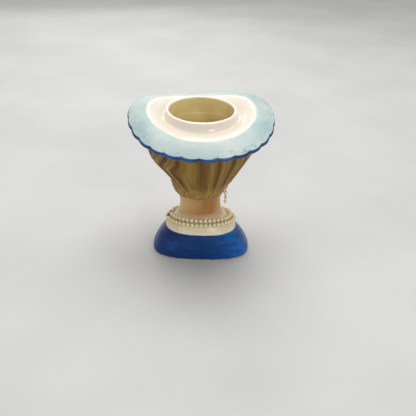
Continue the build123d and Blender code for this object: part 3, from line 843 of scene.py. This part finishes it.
def make_skin_glaze():
    """Warm flesh glaze, painted face, tan nape with a painted orange brown shadow, tan inside."""
    material, tree, shader, place = new_finish(
        "skin_glaze", roughness=0.42, coat=0.2, coat_roughness=0.16, specular=0.28
    )
    flow = add_mark(tree, "lay", "Vector")
    streaks = add_group(tree, brush_marks, flow, Length=4.0, Fineness=5.0)
    flesh = add_clouds(tree, place, 45.0, flesh_tones, detail=4.0, roughness=0.55)
    tan, brown = (add_ramp(tree, streaks, tones) for tones in (nape_tans, shadow_browns))
    # Painted shadow: orange brown over the tan at the back of the neck, under the hair.
    nape = add_mix(tree, add_mark(tree, "shade_under_hair"), tan, brown)
    colour = add_mix(tree, add_mark(tree, "nape"), flesh, nape)
    for mark, share, tint in face_paints:
        colour = add_mix(tree, add_product(tree, add_mark(tree, mark), share), colour, tint)
    colour = add_inside(tree, place, colour, 0.6)
    skin = add_group(tree, glaze_skin, place, Ripple=0.3, Pits=0.1)
    close_finish(tree, shader, colour, skin, 0.3, 0.25 * mm)
    return material


def make_bust_glaze():
    """Royal blue dress, cream shoulders above its neckline and a bare cream foot line."""
    material, tree, shader, place = new_finish(
        "dress_and_shoulder_glaze",
        roughness=0.42,
        coat=0.15,
        coat_roughness=0.14,
        specular=0.2,
    )
    flow = add_mark(tree, "lay", "Vector")
    streaks = add_group(tree, brush_marks, flow, Length=2.6, Fineness=12.0)
    clouds = add_product(tree, add_noise(tree, place, 38.0), 0.5)
    blue = add_ramp(tree, add_total(tree, add_product(tree, streaks, 0.55), clouds), dress_blues)
    # Painted light: lighter streaked blue on the dress's lit side.
    painted_light_share = add_range(tree, streaks, 0.35, 0.6, to=(0.35, 0.75))
    painted_light_share = add_product(tree, add_mark(tree, "painted_light_share"), painted_light_share)
    blue = add_mix(tree, painted_light_share, blue, dress_painted_light)
    cream = add_clouds(tree, place, 60.0, shoulder_creams, detail=4.0, roughness=0.6)
    ragged = add_ragged(tree, place, 160.0, 0.9)
    above = add_total(tree, add_mark(tree, "above_neckline"), ragged)
    colour = add_mix(tree, add_range(tree, above, -0.15, 0.2), blue, cream)
    nape = add_range(tree, add_mark(tree, "nape"), 0.0, 1.0, to=(0.0, 0.8))
    colour = add_mix(tree, nape, colour, shoulder_nape)
    foot = add_total(tree, add_mark(tree, "above_foot"), ragged)
    bare = add_clouds(tree, place, 300.0, bare_creams)
    colour = add_mix(tree, add_range(tree, foot, -0.15, 0.25), bare, colour)
    colour = add_inside(tree, place, colour, 0.6)
    for label, values in (("Roughness", (0.7, 0.3)), ("Coat Weight", (0.0, 0.18))):
        gloss = add_range(tree, foot, -0.15, 0.25, to=values)
        tree.links.new(gloss, shader.inputs[label])
    skin = add_group(tree, glaze_skin, place, Ripple=0.4, Pits=0.12)
    height = add_total(tree, skin, add_product(tree, streaks, 0.4))
    close_finish(tree, shader, colour, height, 0.35, 0.3 * mm)
    return material


def make_pearl_lacquer():
    """Cream pearl lacquer, warmer on some beads, with painted shade deeper round each bead's rim.
    """
    material, tree, shader, place = new_finish(
        "imitation_pearl", roughness=0.25, coat=1.0, coat_roughness=0.14
    )
    colour = add_clouds(tree, place, 400.0, pearl_creams, detail=2.0)
    warm = add_product(tree, add_mark(tree, "tone"), 0.4)
    colour = add_mix(tree, warm, colour, pearl_warm)
    # Painted shade: darker towards each bead's rim as seen, so its middle reads as a painted
    # highlight.
    rim = tree.nodes.new("ShaderNodeLayerWeight")
    rim.inputs["Blend"].default_value = 0.4
    colour = add_mix(tree, rim.outputs["Facing"], colour, pearl_rim_shade)
    skin = add_group(tree, glaze_skin, place, Ripple=0.2, Pits=0.1)
    close_finish(tree, shader, colour, skin, 0.06, 0.03 * mm)
    return material


def make_metal(name, tones, roughness):
    """Thin metal with duller, darker patches of age."""
    material, tree, shader, place = new_finish(name, roughness=roughness)
    shader.inputs["Metallic"].default_value = 1.0
    patches = add_noise(tree, place, 700.0)
    dulled = add_range(tree, patches, 0.3, 0.7, to=(roughness + 0.15, roughness))
    tree.links.new(dulled, shader.inputs["Roughness"])
    skin = add_group(tree, glaze_skin, place, Ripple=0.3, Pits=0.4)
    close_finish(tree, shader, add_ramp(tree, patches, tones), skin, 0.25, 0.05 * mm)
    return material


def make_thread():
    """Off-white twisted nylon thread."""
    material, tree, shader, place = new_finish("thread", roughness=0.6)
    twist = add_stretched_noise(tree, place, (2500, 2500, 6250), detail=2.0)
    close_finish(tree, shader, add_ramp(tree, twist, thread_tones), twist, 0.5, 0.1 * mm)
    return material


def make_floor_paint():
    """Pale grey studio floor with faint clouds."""
    material, tree, shader, place = new_finish("pale_floor", roughness=0.7)
    colour = add_clouds(tree, place, 6.0, floor_greys, detail=2.0)
    tree.links.new(colour, shader.inputs["Base Color"])
    return material


hat_glaze = make_hat_glaze()
hair_glaze = make_hair_glaze()
skin_glaze = make_skin_glaze()
bust_glaze = make_bust_glaze()
pearl_lacquer = make_pearl_lacquer()
dark_metal = make_metal("dark_metal", dark_metal_tones, 0.4)
gilt_wire = make_metal("gilt_wire", gilt_tones, 0.22)
thread_finish = make_thread()

# Hat


def zone_rows(zone, first, last, steps):
    """Rows of one zone of a skin, each with its share of the way through the zone."""
    return [(zone, step / steps) for step in range(first, last + 1)]


# From the mouth's inside over the lip, collar, brim and edge to the underside
hat_rows = [
    ("root", 0.0),
    *zone_rows("inside", 0, 12, 12),
    *zone_rows("lip", 1, 12, 13),
    *zone_rows("collar", 0, 20, 20),
    *zone_rows("top", 1, 30, 30),
    *zone_rows("edge", 1, 7, 8),
    *reversed(zone_rows("under", 0, 15, 15)),
    ("root", 0.0),
]


def collar_place(share, bearing):
    """Place on the collar's outside, which sweeps from the lip down and out into the brim."""
    tilt = math.tan(math.radians(hat_tilt))
    y = mouth_place(bearing, collar_wall)[1]
    lip = Vector((collar_wall, mouth_height - lip_round - y * tilt))
    wall = lip + Vector((collar_flare, -collar_wall_share * collar_height))
    foot = Vector((collar_sweep, brim_height(*mouth_place(bearing, collar_sweep))))
    beyond = brim_height(*mouth_place(bearing, collar_sweep + mm))
    slope = Vector((1, (beyond - foot.y) / mm))
    valley = foot - slope * collar_valley_share * collar_sweep
    rest = 1 - share
    place = rest**3 * lip + 3 * rest**2 * share * wall
    place += 3 * rest * share**2 * valley + share**3 * foot
    return (*mouth_place(bearing, place.x), place.y)


def scallop_crest(bearing):
    """How near a bearing is to the crest of a scallop, from none to one."""
    return abs(math.cos(scallops * bearing / 2)) ** scallop_roundness


def brim_side(share, bearing):
    """Place in plan on the brim between the collar's foot and the scalloped edge."""
    crest = scallop_crest(bearing)
    scallop = scallop_depth * (scallop_crest_out * crest - scallop_gap_in)
    aim = bearing - math.radians(brim_turn)
    across = (brim_half_width + scallop) * math.sin(aim)
    along = -(brim_half_depth + scallop) * math.cos(aim)
    far = turned((across, along), brim_turn)
    near = mouth_place(bearing, collar_sweep)
    return near[0] + (far[0] + head_shift - near[0]) * share, near[1] + (far[1] - near[1]) * share


def brim_marks(zone, share, bearing, x, y):
    """Marks of the painted zones at a place on the brim."""
    if zone == "edge":
        return {"cream": -1.0, "edge": 1.0, "out": 1.0}
    if zone == "under":
        blue = 0.9 * ease(share, 0.94, 1.0)
        return {"cream": -1.0, "edge": blue, "out": share, "under": 1.0}
    cream = math.hypot((x - head_shift) / cream_half_width, y / cream_half_depth)
    shaded_bearing, shaded_spread = shaded_side
    shaded = fade(off_bearing(bearing, shaded_bearing), shaded_spread)
    return {
        "cream": 1 - cream,
        "edge": 0.62 * ease(share, 0.965, 1.0),
        "out": share,
        # painted shade on the brim at the figure's back
        "near": 0.55 * ease(share, 0.3, 0.8) * shaded,
        # painted shade where the brim dips into the valley at the collar's foot
        "valley": 0.18 * (1 - ease(share, 0.0, 0.14)),
    }


def hat_shape(row, bearing):
    """A point of the hat's skin."""
    zone, share = hat_rows[row]
    tilt = math.tan(math.radians(hat_tilt))
    marks = dict.fromkeys(("out", "edge", "under", "inside", "valley", "near"), 0.0)
    marks["cream"] = 1.0
    reach = 0.1 * share
    if zone in ("root", "inside"):
        low = cavity_rim(bearing, hat_root if zone == "root" else 0.0)
        high = mouth_place(bearing, 0)
        bend = ease(share, 0.0, 0.95)
        x, y = (start + (end - start) * bend for start, end in zip(low, high))
        z = low[2] + (mouth_height - lip_round - high[1] * tilt - low[2]) * share
        marks["inside"] = 1.0
    elif zone == "lip":
        outset = collar_wall / 2 * (1 - math.cos(math.pi * share))
        x, y = mouth_place(bearing, outset)
        z = mouth_height - lip_round * (1 - math.sin(math.pi * share)) - y * tilt
        marks["inside"] = 1 - ease(outset, 0, 0.2 * collar_wall)
        reach = 0.0
    elif zone == "collar":
        x, y, z = collar_place(share, bearing)
        # Painted shade in the valley between the collar and the brim.
        valley_shade_share = ease(share, 0.35, 0.7) * (1 - 0.5 * ease(share, 0.7, 1.0))
        marks["valley"] = 0.36 * valley_shade_share
    else:
        out = 1.0 if zone == "edge" else share
        x, y = brim_side(out, bearing)
        bulge = math.sin(math.pi * share) if zone == "edge" else 1 - share**30
        drawn_in = 1 - edge_round * (1 - bulge) / math.hypot(x - head_shift, y)
        x, y = head_shift + (x - head_shift) * drawn_in, y * drawn_in
        droop = scallop_droop * (scallop_crest(bearing) - scallop_droop_level)
        z = brim_height(x, y) - droop * out**7
        z -= brim_thickness * {"top": 0, "edge": share, "under": 1}[zone]
        marks.update(brim_marks(zone, share, bearing, x, y))
        reach = 0.1 + out
    marks["lay"] = lay(bearing, reach)
    return (x, y, z), marks


def cavity_rim(bearing, root):
    """Place on the rim of the head's inside, or rooted some way below it in the wall."""
    height = top_height(head_side, bearing, head_wall) - root
    return (*head_side(height, bearing, head_wall - 0.3 * root), height)


hat = rolled_grid("hat_shell", scallops * scallop_columns, len(hat_rows), hat_shape)
dress(hat, hat_glaze, "hat_glaze", "vase", "hat")

# Head


def head_shape(row, bearing):
    """A point of the head's skin: up its outside, then down its inside."""
    row %= head_rows + head_inner_rows
    inside = row >= head_rows
    bearing = (bearing + math.pi) % math.tau - math.pi
    climb = 1 - (row - head_rows) / (head_inner_rows - 1) if inside else row / (head_rows - 1)
    inset = head_wall if inside else 0.0
    top = top_height(head_side, bearing, inset) + seat_depth
    z = bust_height + (top - bust_height) * climb
    share = (z - bust_height) / head_height
    relief, marks = face_relief(share, bearing)
    if inside:
        relief, marks = 0.0, dict.fromkeys(marks, 0.0)
    x, y = head_place(share, bearing, inset, relief)
    behind = ease(-math.cos(bearing), -0.35, 0.55) * (1 - ease(share, 0.35, 0.6))
    marks["nape"] = behind * ease(z, bust_height - mm, bust_height + 4 * mm)
    marks["inside"] = 1.0 if inside else 0.0
    # Painted shadow of the hair over the back of the neck.
    shadow_bearing, shadow_spread = under_hair_shadow
    marks["shade_under_hair"] = 0.9 * fade(off_bearing(bearing, shadow_bearing), shadow_spread)
    marks["lay"] = lay(bearing, climb)
    return (x, y, z), marks


head = rolled_grid("head_skin", head_columns, head_rows + head_inner_rows + 1, head_shape)
dress(head, skin_glaze, "skin_glaze", "vase", "head")


def make_lobe():
    """Soft lobe of the right ear."""
    x, y = head_place(lobe_share, math.radians(lobe_bearing), 0)
    bpy.ops.object.select_all(action="DESELECT")
    bpy.ops.mesh.primitive_uv_sphere_add(segments=32, ring_count=20, radius=1)
    piece = bpy.context.object
    piece.name = "ear_lobe"
    size = Vector((lobe_half_width, lobe_half_depth, lobe_half_height))
    middle = Vector((x - lobe_stand_out, y, bust_height + lobe_share * head_height))
    for vertex in piece.data.vertices:
        vertex.co = middle + vertex.co * size
    bpy.ops.object.shade_smooth()
    return piece


lobe = make_lobe()
lobe.data.materials.append(skin_glaze)
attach(lobe, "vase")

# Hair

radius_levels = 100
radius_bearings = 240
radius_base = hair_base - 4 * mm


def radii_ring(share):
    """Radius of the head's outside at a height share, at even angles about its axis."""
    ring = []
    for step in range(radius_bearings):
        bearing = math.tau * step / radius_bearings
        short = (bearing + math.pi) % math.tau - math.pi
        x, y = head_place(share, bearing, 0, face_relief(share, short)[0])
        x -= head_shift
        ring.append((math.atan2(x, -y) % math.tau, math.hypot(x, y)))
    ring.sort()
    first, last = ring[0], ring[-1]
    ring = [(last[0] - math.tau, last[1]), *ring, (first[0] + math.tau, first[1])]
    even = []
    at = 0
    for step in range(radius_bearings):
        angle = math.tau * step / radius_bearings
        while ring[at + 1][0] < angle:
            at += 1
        (before, near), (after, far) = ring[at], ring[at + 1]
        even.append(near + (far - near) * (angle - before) / max(1e-9, after - before))
    return even


head_radii = [
    radii_ring((radius_base + level * mm - bust_height) / head_height)
    for level in range(radius_levels + 1)
]


def head_radius(height, angle):
    """Radius of the head's outside at a height and an angle."""
    level = min(radius_levels - 1e-6, max(0, (height - radius_base) / mm))
    step = angle % math.tau / math.tau * radius_bearings
    low, left = int(level), int(step)
    up, over = level - low, step - left
    left %= radius_bearings
    right = (left + 1) % radius_bearings
    rings = head_radii[low : low + 2]
    near, far = (ring[left] * (1 - over) + ring[right] * over for ring in rings)
    return near * (1 - up) + far * up


def lock_relief(bearing, climb):
    """Depth of the locks at a bearing and a climb, their painted shade share and the way they
    flow.
    """
    sides = [1, *(fade(off_bearing(bearing, at), spread) for at, spread in lock_sides)]
    swing, deep = (
        sum(share * side for share, side in zip(shares, sides))
        for shares in (lock_swings, lock_depths)
    )
    nape = 1 - ease(climb, *nape_climbs)
    flow = bearing + swing * math.sin(math.tau * (lock_waves * climb + 0.2) + bearing)
    flow += 0.04 * math.sin(3 * bearing + 5 * climb)
    flow += 0.025 * nape * math.sin(math.tau * nape_waves * climb + 9 * bearing)
    lane = flow + 0.10 * math.sin(3 * flow + 1) + 0.05 * math.sin(7 * flow + 2)
    groove = abs(math.cos(lock_pitch * lane)) ** lock_groove_narrowness
    minor = abs(math.cos(minor_lock_pitch * lane + 1.6 * math.sin(3 * climb + flow)))
    minor **= minor_groove_narrowness
    strand = math.sin(strand_pitch * lane + 3 * math.sin(4 * climb + 2 * flow))
    curl = math.cos(2 * lock_pitch * lane + 2 * math.sin(math.tau * nape_waves * climb))
    curl *= nape * math.cos(math.tau * curl_waves * climb + 6 * lane)
    relief = 0.2 - lock_groove_depth * deep * (1 - 0.75 * nape) * groove
    relief -= (minor_groove_depth - 0.05 * nape) * minor
    relief += strand_relief * strand + curl_relief * curl
    ripple = math.sin(math.tau * ripple_waves * climb + 5 * flow)
    relief += ripple_relief * sides[1] * ripple
    return relief * mm, 1 - 0.75 * groove - 0.3 * minor + 0.35 * curl, flow


def hair_shape(row, bearing):
    """A point of the hair's skin: up outside, in under the hat, then down in the head's wall."""
    row %= hair_outer_rows + hair_roll_rows + hair_inner_rows
    rolled = row - hair_outer_rows
    inner = rolled >= hair_roll_rows
    climb = min(1, (row / (hair_outer_rows - 1)) ** hair_row_crowding)
    if inner:
        climb = 1 - (rolled - hair_roll_rows) / (hair_inner_rows - 1)
    top = hair_tops[round(bearing / math.tau * hair_columns) % hair_columns]
    z = hair_base + (top - hair_base) * climb
    x, y = hair_side(z, bearing)
    angle = math.atan2(x - head_shift, -y)
    relief, painted_lock_shade, flow = lock_relief(bearing, climb)
    radius = math.hypot(x - head_shift, y)
    skull = head_radius(z, angle)
    tucked = skull - hair_tuck
    corner = 0.25 * (1 - min(1, (z - hair_base) / (2 * nape_roll))) ** 2
    behind = ease(-math.cos(angle), corner - 0.05, corner + 0.2)
    cover = max(behind, ease(radius - skull, -0.2 * mm, 2.5 * mm))
    rise = min(1, (z - hair_base) / nape_roll)
    roll = nape_reach * math.sqrt(1 - (1 - rise) ** 2)
    radius = max(radius, skull + roll * behind - hair_tuck * (1 - behind))
    radius += relief * cover * ease(rise, 0.0, 1.0)
    if inner:
        radius = skull - 2 * hair_tuck
    elif rolled >= 0:
        radius += (tucked - radius) * (rolled + 1) / hair_roll_rows
    else:
        radius = max(radius, tucked + (hair_tuck + 0.35 * roll) * behind * min(1, row))
    x, y = head_shift + radius * math.sin(angle), -radius * math.cos(angle)
    if climb > hair_seat_climb:
        seat = brim_height(x, y) - brim_thickness + seat_depth
        z += (seat - top) * ease(climb, hair_seat_climb, 1.0)
    marks = {
        "painted_lock_shade": painted_lock_shade if rolled < 0 else 0.0,
        # share of the painted highlight streaks on the lower hair
        "nape": 1 - ease(climb, 0.08, 0.3),
        "lay": lay(flow, climb),
    }
    return (x, y, z), marks


hair_tops = [
    top_height(hair_side, math.tau * column / hair_columns) for column in range(hair_columns)
]
hair_rows = hair_outer_rows + hair_roll_rows + hair_inner_rows + 1
hair = rolled_grid("hair_locks", hair_columns, hair_rows, hair_shape)
dress(hair, hair_glaze, "hair_glaze", "vase", "hair")

# Bust, from under its foot up its outside and down its inside

bust_rows = [
    *zone_rows("recess", 0, 5, 5),
    *zone_rows("ring", 0, 3, 3),
    *zone_rows("side", 0, 60, 60),
    *reversed(zone_rows("cavity", 0, 30, 30)),
    *reversed(zone_rows("floor", 0, 5, 6)),
]


def neckline_height(bearing):
    """Height of the dress's neckline, which dips in front."""
    ahead = math.cos(bearing)
    end = neckline_front if ahead > 0 else neckline_back
    return neckline_side + (end - neckline_side) * ahead**2


def bust_shape(row, bearing):
    """A point of the bust's skin."""
    zone, share = bust_rows[row]
    marks = {"inside": 0.0, "nape": 0.0, "above_neckline": -5.0, "above_foot": -5.0}
    # Painted light on the dress's lit side
    lit_bearing, lit_spread = lit_side
    marks["painted_light_share"] = fade(off_bearing(bearing, lit_bearing), lit_spread)
    if zone == "recess":
        x, y = bust_place(0, bearing, foot_ring_width)
        x, y, z = x * share, y * share, foot_recess
    elif zone == "ring":
        x, y = bust_place(0, bearing, foot_ring_width * (1 - share) + foot_round * share)
        z = 0.0
    elif zone == "side":
        z = share * bust_height
        rounded = math.acos(1 - min(1, z / foot_round))
        x, y = bust_place(share, bearing, foot_round * (1 - math.sin(rounded)))
        marks["above_neckline"] = (z - neckline_height(bearing)) / mm
        foot_line = foot_line_height + foot_line_wander * math.sin(2 * bearing + 1)
        marks["above_foot"] = (z - foot_line) / mm
        marks["nape"] = ease(z, *nape_tint_heights)
    else:
        z = foot_recess + floor_thickness
        if zone == "cavity":
            z += (bust_height - z) * share
        x, y = bust_place(z / bust_height, bearing, bust_wall)
        if zone == "floor":
            x, y = x * share, y * share
        marks["inside"] = 1.0
    marks["lay"] = lay(bearing, z / bust_height)
    return (x, y, z), marks


bust = rolled_grid("bust_shell", bust_columns, len(bust_rows), bust_shape)
dress(bust, bust_glaze, "dress_and_shoulder_glaze", "vase", "bust")

# Necklace


def shoulder_place(bearing, below):
    """Centre of a bead resting on the shoulders at a bearing, set below the bust's top."""

    def surface(at_bearing, at_share):
        """Place on the bust's outside."""
        return Vector((*bust_place(at_share, at_bearing, 0), at_share * bust_height))

    share = 1 - below / bust_height
    nudge = 0.005
    place = surface(bearing, share)
    along = surface(bearing + nudge, share) - place
    rise = surface(bearing, share + nudge) - place
    return place + along.cross(rise).normalized() * (pearl_diameter / 2 + pearl_seat)


def strand_place(bearing, lower):
    """Point of the upper or lower strand's line at a bearing."""
    front_share = (1 + math.cos(bearing)) / 2
    below = necklace_below_neck + necklace_front_drop * front_share
    upper_place = shoulder_place(bearing, below)
    if not lower:
        return upper_place
    spacing = pearl_diameter + strand_clearance + strand_spread * front_share
    near, far = below, below + 3 * spacing
    for _ in range(16):
        middle = (near + far) / 2
        if (shoulder_place(bearing, middle) - upper_place).length < spacing:
            near = middle
        else:
            far = middle
    return shoulder_place(bearing, near)


def strand_knots(lower, middle, start):
    """Evenly spaced points of a strand, one between each two beads."""
    steps = 240
    sweep = math.tau - 2 * start
    bearings = [middle + start + sweep * step / steps for step in range(steps + 1)]
    line = [strand_place(bearing, lower) for bearing in bearings]
    runs = [(after - before).length for before, after in zip(line, line[1:])]
    count = int(sum(runs) / (pearl_diameter + pearl_gap))
    pitch = sum(runs) / count
    knots = [line[0]]
    travelled = 0.0
    for before, after, run in zip(line, line[1:], runs):
        while len(knots) < count and travelled + run >= pitch * len(knots):
            part = (pitch * len(knots) - travelled) / run
            knots.append(before + (after - before) * part)
        travelled += run
    return [*knots, line[-1]]


def select_only(*pieces):
    """Select some pieces and no other, and make the first one active."""
    bpy.ops.object.select_all(action="DESELECT")
    for piece in pieces:
        piece.select_set(True)
    bpy.context.view_layer.objects.active = pieces[0]


def model_pearl():
    """One round bead with a dimple at each end, along Z."""
    bpy.ops.object.select_all(action="DESELECT")
    bpy.ops.mesh.primitive_uv_sphere_add(segments=28, ring_count=18, radius=pearl_diameter / 2)
    bead = bpy.context.object
    for vertex in bead.data.vertices:
        out = math.hypot(vertex.co.x, vertex.co.y)
        vertex.co.z *= 1 - pearl_dimple * fade(out, 0.5 * mm)
    bpy.ops.object.shade_smooth()
    return bead


def thread_bead(model, before, after):
    """Copy of the bead between two knots, turned at random and with a tone of its own."""
    bead = model.copy()
    bead.data = model.data.copy()
    bpy.context.collection.objects.link(bead)
    spin = Matrix.Rotation(random.uniform(0, math.tau), 4, "Z")
    aim = (after - before).to_track_quat("Z", "Y").to_matrix().to_4x4()
    bead.data.transform(Matrix.Translation((before + after) / 2) @ aim @ spin)
    tone = bead.data.attributes.new("tone", "FLOAT", "POINT")
    tone.data.foreach_set("value", [random.random()] * len(bead.data.vertices))
    return bead


clasp_angle = math.radians(clasp_bearing)
clasp_upper = strand_place(clasp_angle, False)
clasp_lower = strand_place(clasp_angle, True)
clasp_ahead = strand_place(clasp_angle + math.radians(1), False) - clasp_upper
clasp_radius = clasp_ahead.length / math.radians(1)
clasp_slip = (clasp_upper - clasp_lower).dot(clasp_ahead.normalized()) / 2
clasp_reach = clasp_gap / 2 + clasp_bar_width + pearl_gap
pearl = model_pearl()
random.seed(11)
for name, side in (("upper", 1), ("lower", -1)):
    middle = clasp_angle - side * clasp_slip / clasp_radius
    knots = strand_knots(side < 0, middle, clasp_reach / clasp_radius)
    beads = [thread_bead(pearl, before, after) for before, after in zip(knots, knots[1:])]
    select_only(*beads)
    bpy.ops.object.join()
    beads[0].name = f"necklace_{name}"
    dress(beads[0], pearl_lacquer, "imitation_pearl", "vase", f"necklace_{name}_pearls")
bpy.data.objects.remove(pearl)

# Earring


def make_wire(name, points, radius, closed=False):
    """Round wire bent smoothly through points."""
    line = bpy.data.curves.new(name, "CURVE")
    line.dimensions = "3D"
    line.bevel_depth = radius
    line.bevel_resolution = 4
    line.use_fill_caps = not closed
    spline = line.splines.new("NURBS")
    spline.points.add(len(points) - 1)
    for point, place in zip(spline.points, points):
        point.co = (*place, 1)
    spline.order_u = 3
    spline.use_endpoint_u = not closed
    spline.use_cyclic_u = closed
    spline.resolution_u = 6
    wire = bpy.data.objects.new(name, line)
    bpy.context.collection.objects.link(wire)
    select_only(wire)
    bpy.ops.object.convert(target="MESH")
    bpy.ops.object.shade_smooth()
    return bpy.context.object


def ring_points(middle, across, up, steps):
    """Points round an upright ring, with its half width as a vector and its half height."""
    angles = [math.tau * step / steps for step in range(steps)]
    rise = Vector((0, 0, up))
    return [middle + across * math.sin(angle) + rise * math.cos(angle) for angle in angles]


def model_round(name, middle, profile):
    """Turned shape about an upright axis through a middle, from (radius, height) points."""

    def shape(row, bearing):
        """A point of the turned skin."""
        radius, height = profile[row]
        x, y = radius * math.sin(bearing), -radius * math.cos(bearing)
        return (middle.x + x, middle.y + y, height), {}

    return rolled_grid(name, turned_columns, len(profile), shape)


def box_of(node):
    """Lowest corner, middle and size of a CAD node's box."""
    low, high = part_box(node)
    return low, (low + high) / 2, high - low


wire_low, _, wire_size = box_of("earring_wire")
bead_middle = box_of("earring_bead")[1]
hook_reach = wire_size.y / 2 - wire_radius
hook_z = wire_low.z + wire_size.z - wire_radius
tail_z = hook_z - hook_drop
eye_z = wire_low.z + eye_radius + wire_radius
hook = [
    (hook_reach, tail_z),
    (hook_reach, hook_z - hook_shoulder),
    (hook_reach - hook_bend, hook_z),
    (hook_flat, hook_z),
    (-hook_flat, hook_z),
    (hook_bend - hook_reach, hook_z),
    (-hook_reach, hook_z - hook_shoulder),
    (-hook_reach, tail_z),
    (-hook_bend, bead_middle.z + 2.6 * mm),
    (0, bead_middle.z + 1.8 * mm),
    (0, eye_z + eye_radius),
]
hook_line = [(bead_middle.x, bead_middle.y + along, height) for along, height in hook]
ear_hook = make_wire("ear_hook", hook_line, wire_radius)
eye_reach = 1.05 * eye_radius
eye_middle = Vector((bead_middle.x, bead_middle.y, eye_z))
eye_line = ring_points(eye_middle, Vector((0, eye_reach, 0)), eye_reach, 12)
eye = make_wire("ear_hook_eye", eye_line, wire_radius, closed=True)
select_only(ear_hook, eye)
bpy.ops.object.join()
dress(ear_hook, gilt_wire, "gilt_wire", "earring_upper", "earring_wire")

bead_steps = 18
bead_angles = [math.pi * step / bead_steps for step in range(bead_steps + 1)]
bead_half_height = bead_squash * bead_radius
bead_profile = [
    (bead_radius * math.sin(angle), bead_middle.z - bead_half_height * math.cos(angle))
    for angle in bead_angles
]
ear_bead = model_round("ear_bead", bead_middle, bead_profile)
dress(ear_bead, pearl_lacquer, "imitation_pearl", "earring_upper", "earring_bead")

_, link_middle, link_size = box_of("earring_link")
link_across = Vector((1.02 * (link_size.x / 2 - wire_radius), 0, 0))
link_up = 1.02 * (link_size.z / 2 - wire_radius)
link_line = ring_points(link_middle, link_across, link_up, 20)
ear_link = make_wire("ear_link", link_line, wire_radius, closed=True)
dress(ear_link, gilt_wire, "gilt_wire", "earring_lower", "earring_link")

drop_low, drop_middle, drop_size = box_of("earring_drop")
drop_steps = 24
drop_profile = []
for step in range(drop_steps + 1):
    climb = step / drop_steps
    swell = math.sin(math.pi * climb**0.72) ** 0.9 if 0 < climb < 1 else 0.0
    girth = drop_radius * swell * (1 - 0.45 * climb**3)
    drop_profile.append((girth, drop_low.z + (drop_size.z - drop_tab) * climb))
ear_drop = model_round("ear_drop", drop_middle, drop_profile)
loop_z = drop_low.z + drop_size.z - drop_tab_drop
loop_middle = Vector((drop_middle.x, drop_middle.y, loop_z))
loop_across = Vector((0, drop_loop_radius, 0))
loop_line = ring_points(loop_middle, loop_across, drop_loop_radius, 12)
loop = make_wire("ear_drop_loop", loop_line, drop_loop_wire, closed=True)
loop.data.materials.append(gilt_wire)
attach(loop, "earring_lower")
dress(ear_drop, pearl_lacquer, "imitation_pearl", "earring_lower", "earring_drop")

# Small parts that keep their CAD shape
for node, material, slot in (
    ("necklace_upper_thread", thread_finish, "thread"),
    ("necklace_lower_thread", thread_finish, "thread"),
    ("clasp_eye_bar", dark_metal, "dark_metal"),
    ("clasp_hook_bar", dark_metal, "dark_metal"),
):
    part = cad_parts[node]
    part.data.materials.clear()
    part.data.materials.append(material)

# Floor, light and camera

bpy.ops.object.select_all(action="DESELECT")
bpy.ops.mesh.primitive_plane_add(size=12)
floor = bpy.context.object
floor.name = "floor"
floor.data.materials.append(make_floor_paint())

world = bpy.data.worlds.new("studio")
world.use_nodes = True
world.node_tree.nodes["Background"].inputs["Color"].default_value = (1, 1, 1, 1)
world.node_tree.nodes["Background"].inputs["Strength"].default_value = 0.5
bpy.context.scene.world = world

# Square studio lights: where each hangs, what it is aimed at, its size and its power
for name, place, aim, size, power in (
    ("overhead_light", (0, -0.25, 1.4), (0, 0, 0.1), 1.2, 12.4),
    ("left_lamp", (0, -0.96, 0.6), (0, 0.04, 0.13), 0.05, 0.3),
    ("right_lamp", (0.04, -0.83, 0.81), (0, 0.04, 0.13), 0.05, 0.3),
    ("front_light", (0.3, -1.2, 0.5), (0, 0, 0.08), 0.6, 1.4),
    ("back_light", (-0.5, 0.9, 0.5), (0, 0, 0.07), 0.25, 1.7),
):
    light_data = bpy.data.lights.new(name, "AREA")
    light_data.shape = "SQUARE"
    light_data.size = size
    light_data.energy = power
    light = bpy.data.objects.new(name, light_data)
    bpy.context.collection.objects.link(light)
    light.location = place
    light.rotation_mode = "QUATERNION"
    light.rotation_quaternion = (Vector(aim) - Vector(place)).to_track_quat("-Z", "Y")

# The camera looks at the figure's back, tilted down and leaning a little
camera_place = Vector((-5.83, 520, 311)) * mm
camera_pitch = math.radians(27.3)
camera_roll = math.radians(1.99)
camera_data = bpy.data.cameras.new("camera")
camera_data.sensor_width = 36
camera_data.lens = 53.65
camera_data.clip_start = 0.01
camera = bpy.data.objects.new("camera", camera_data)
bpy.context.collection.objects.link(camera)
forward = Vector((0, -math.cos(camera_pitch), -math.sin(camera_pitch)))
right = Vector((-1, 0, 0))
up = right.cross(forward)
aside = right * math.cos(camera_roll) + up * math.sin(camera_roll)
above = up * math.cos(camera_roll) - right * math.sin(camera_roll)
turn = Matrix((aside, above, -forward)).transposed()
camera.matrix_world = Matrix.Translation(camera_place) @ turn.to_4x4()
bpy.context.scene.camera = camera
bpy.context.scene.view_settings.view_transform = "Standard"
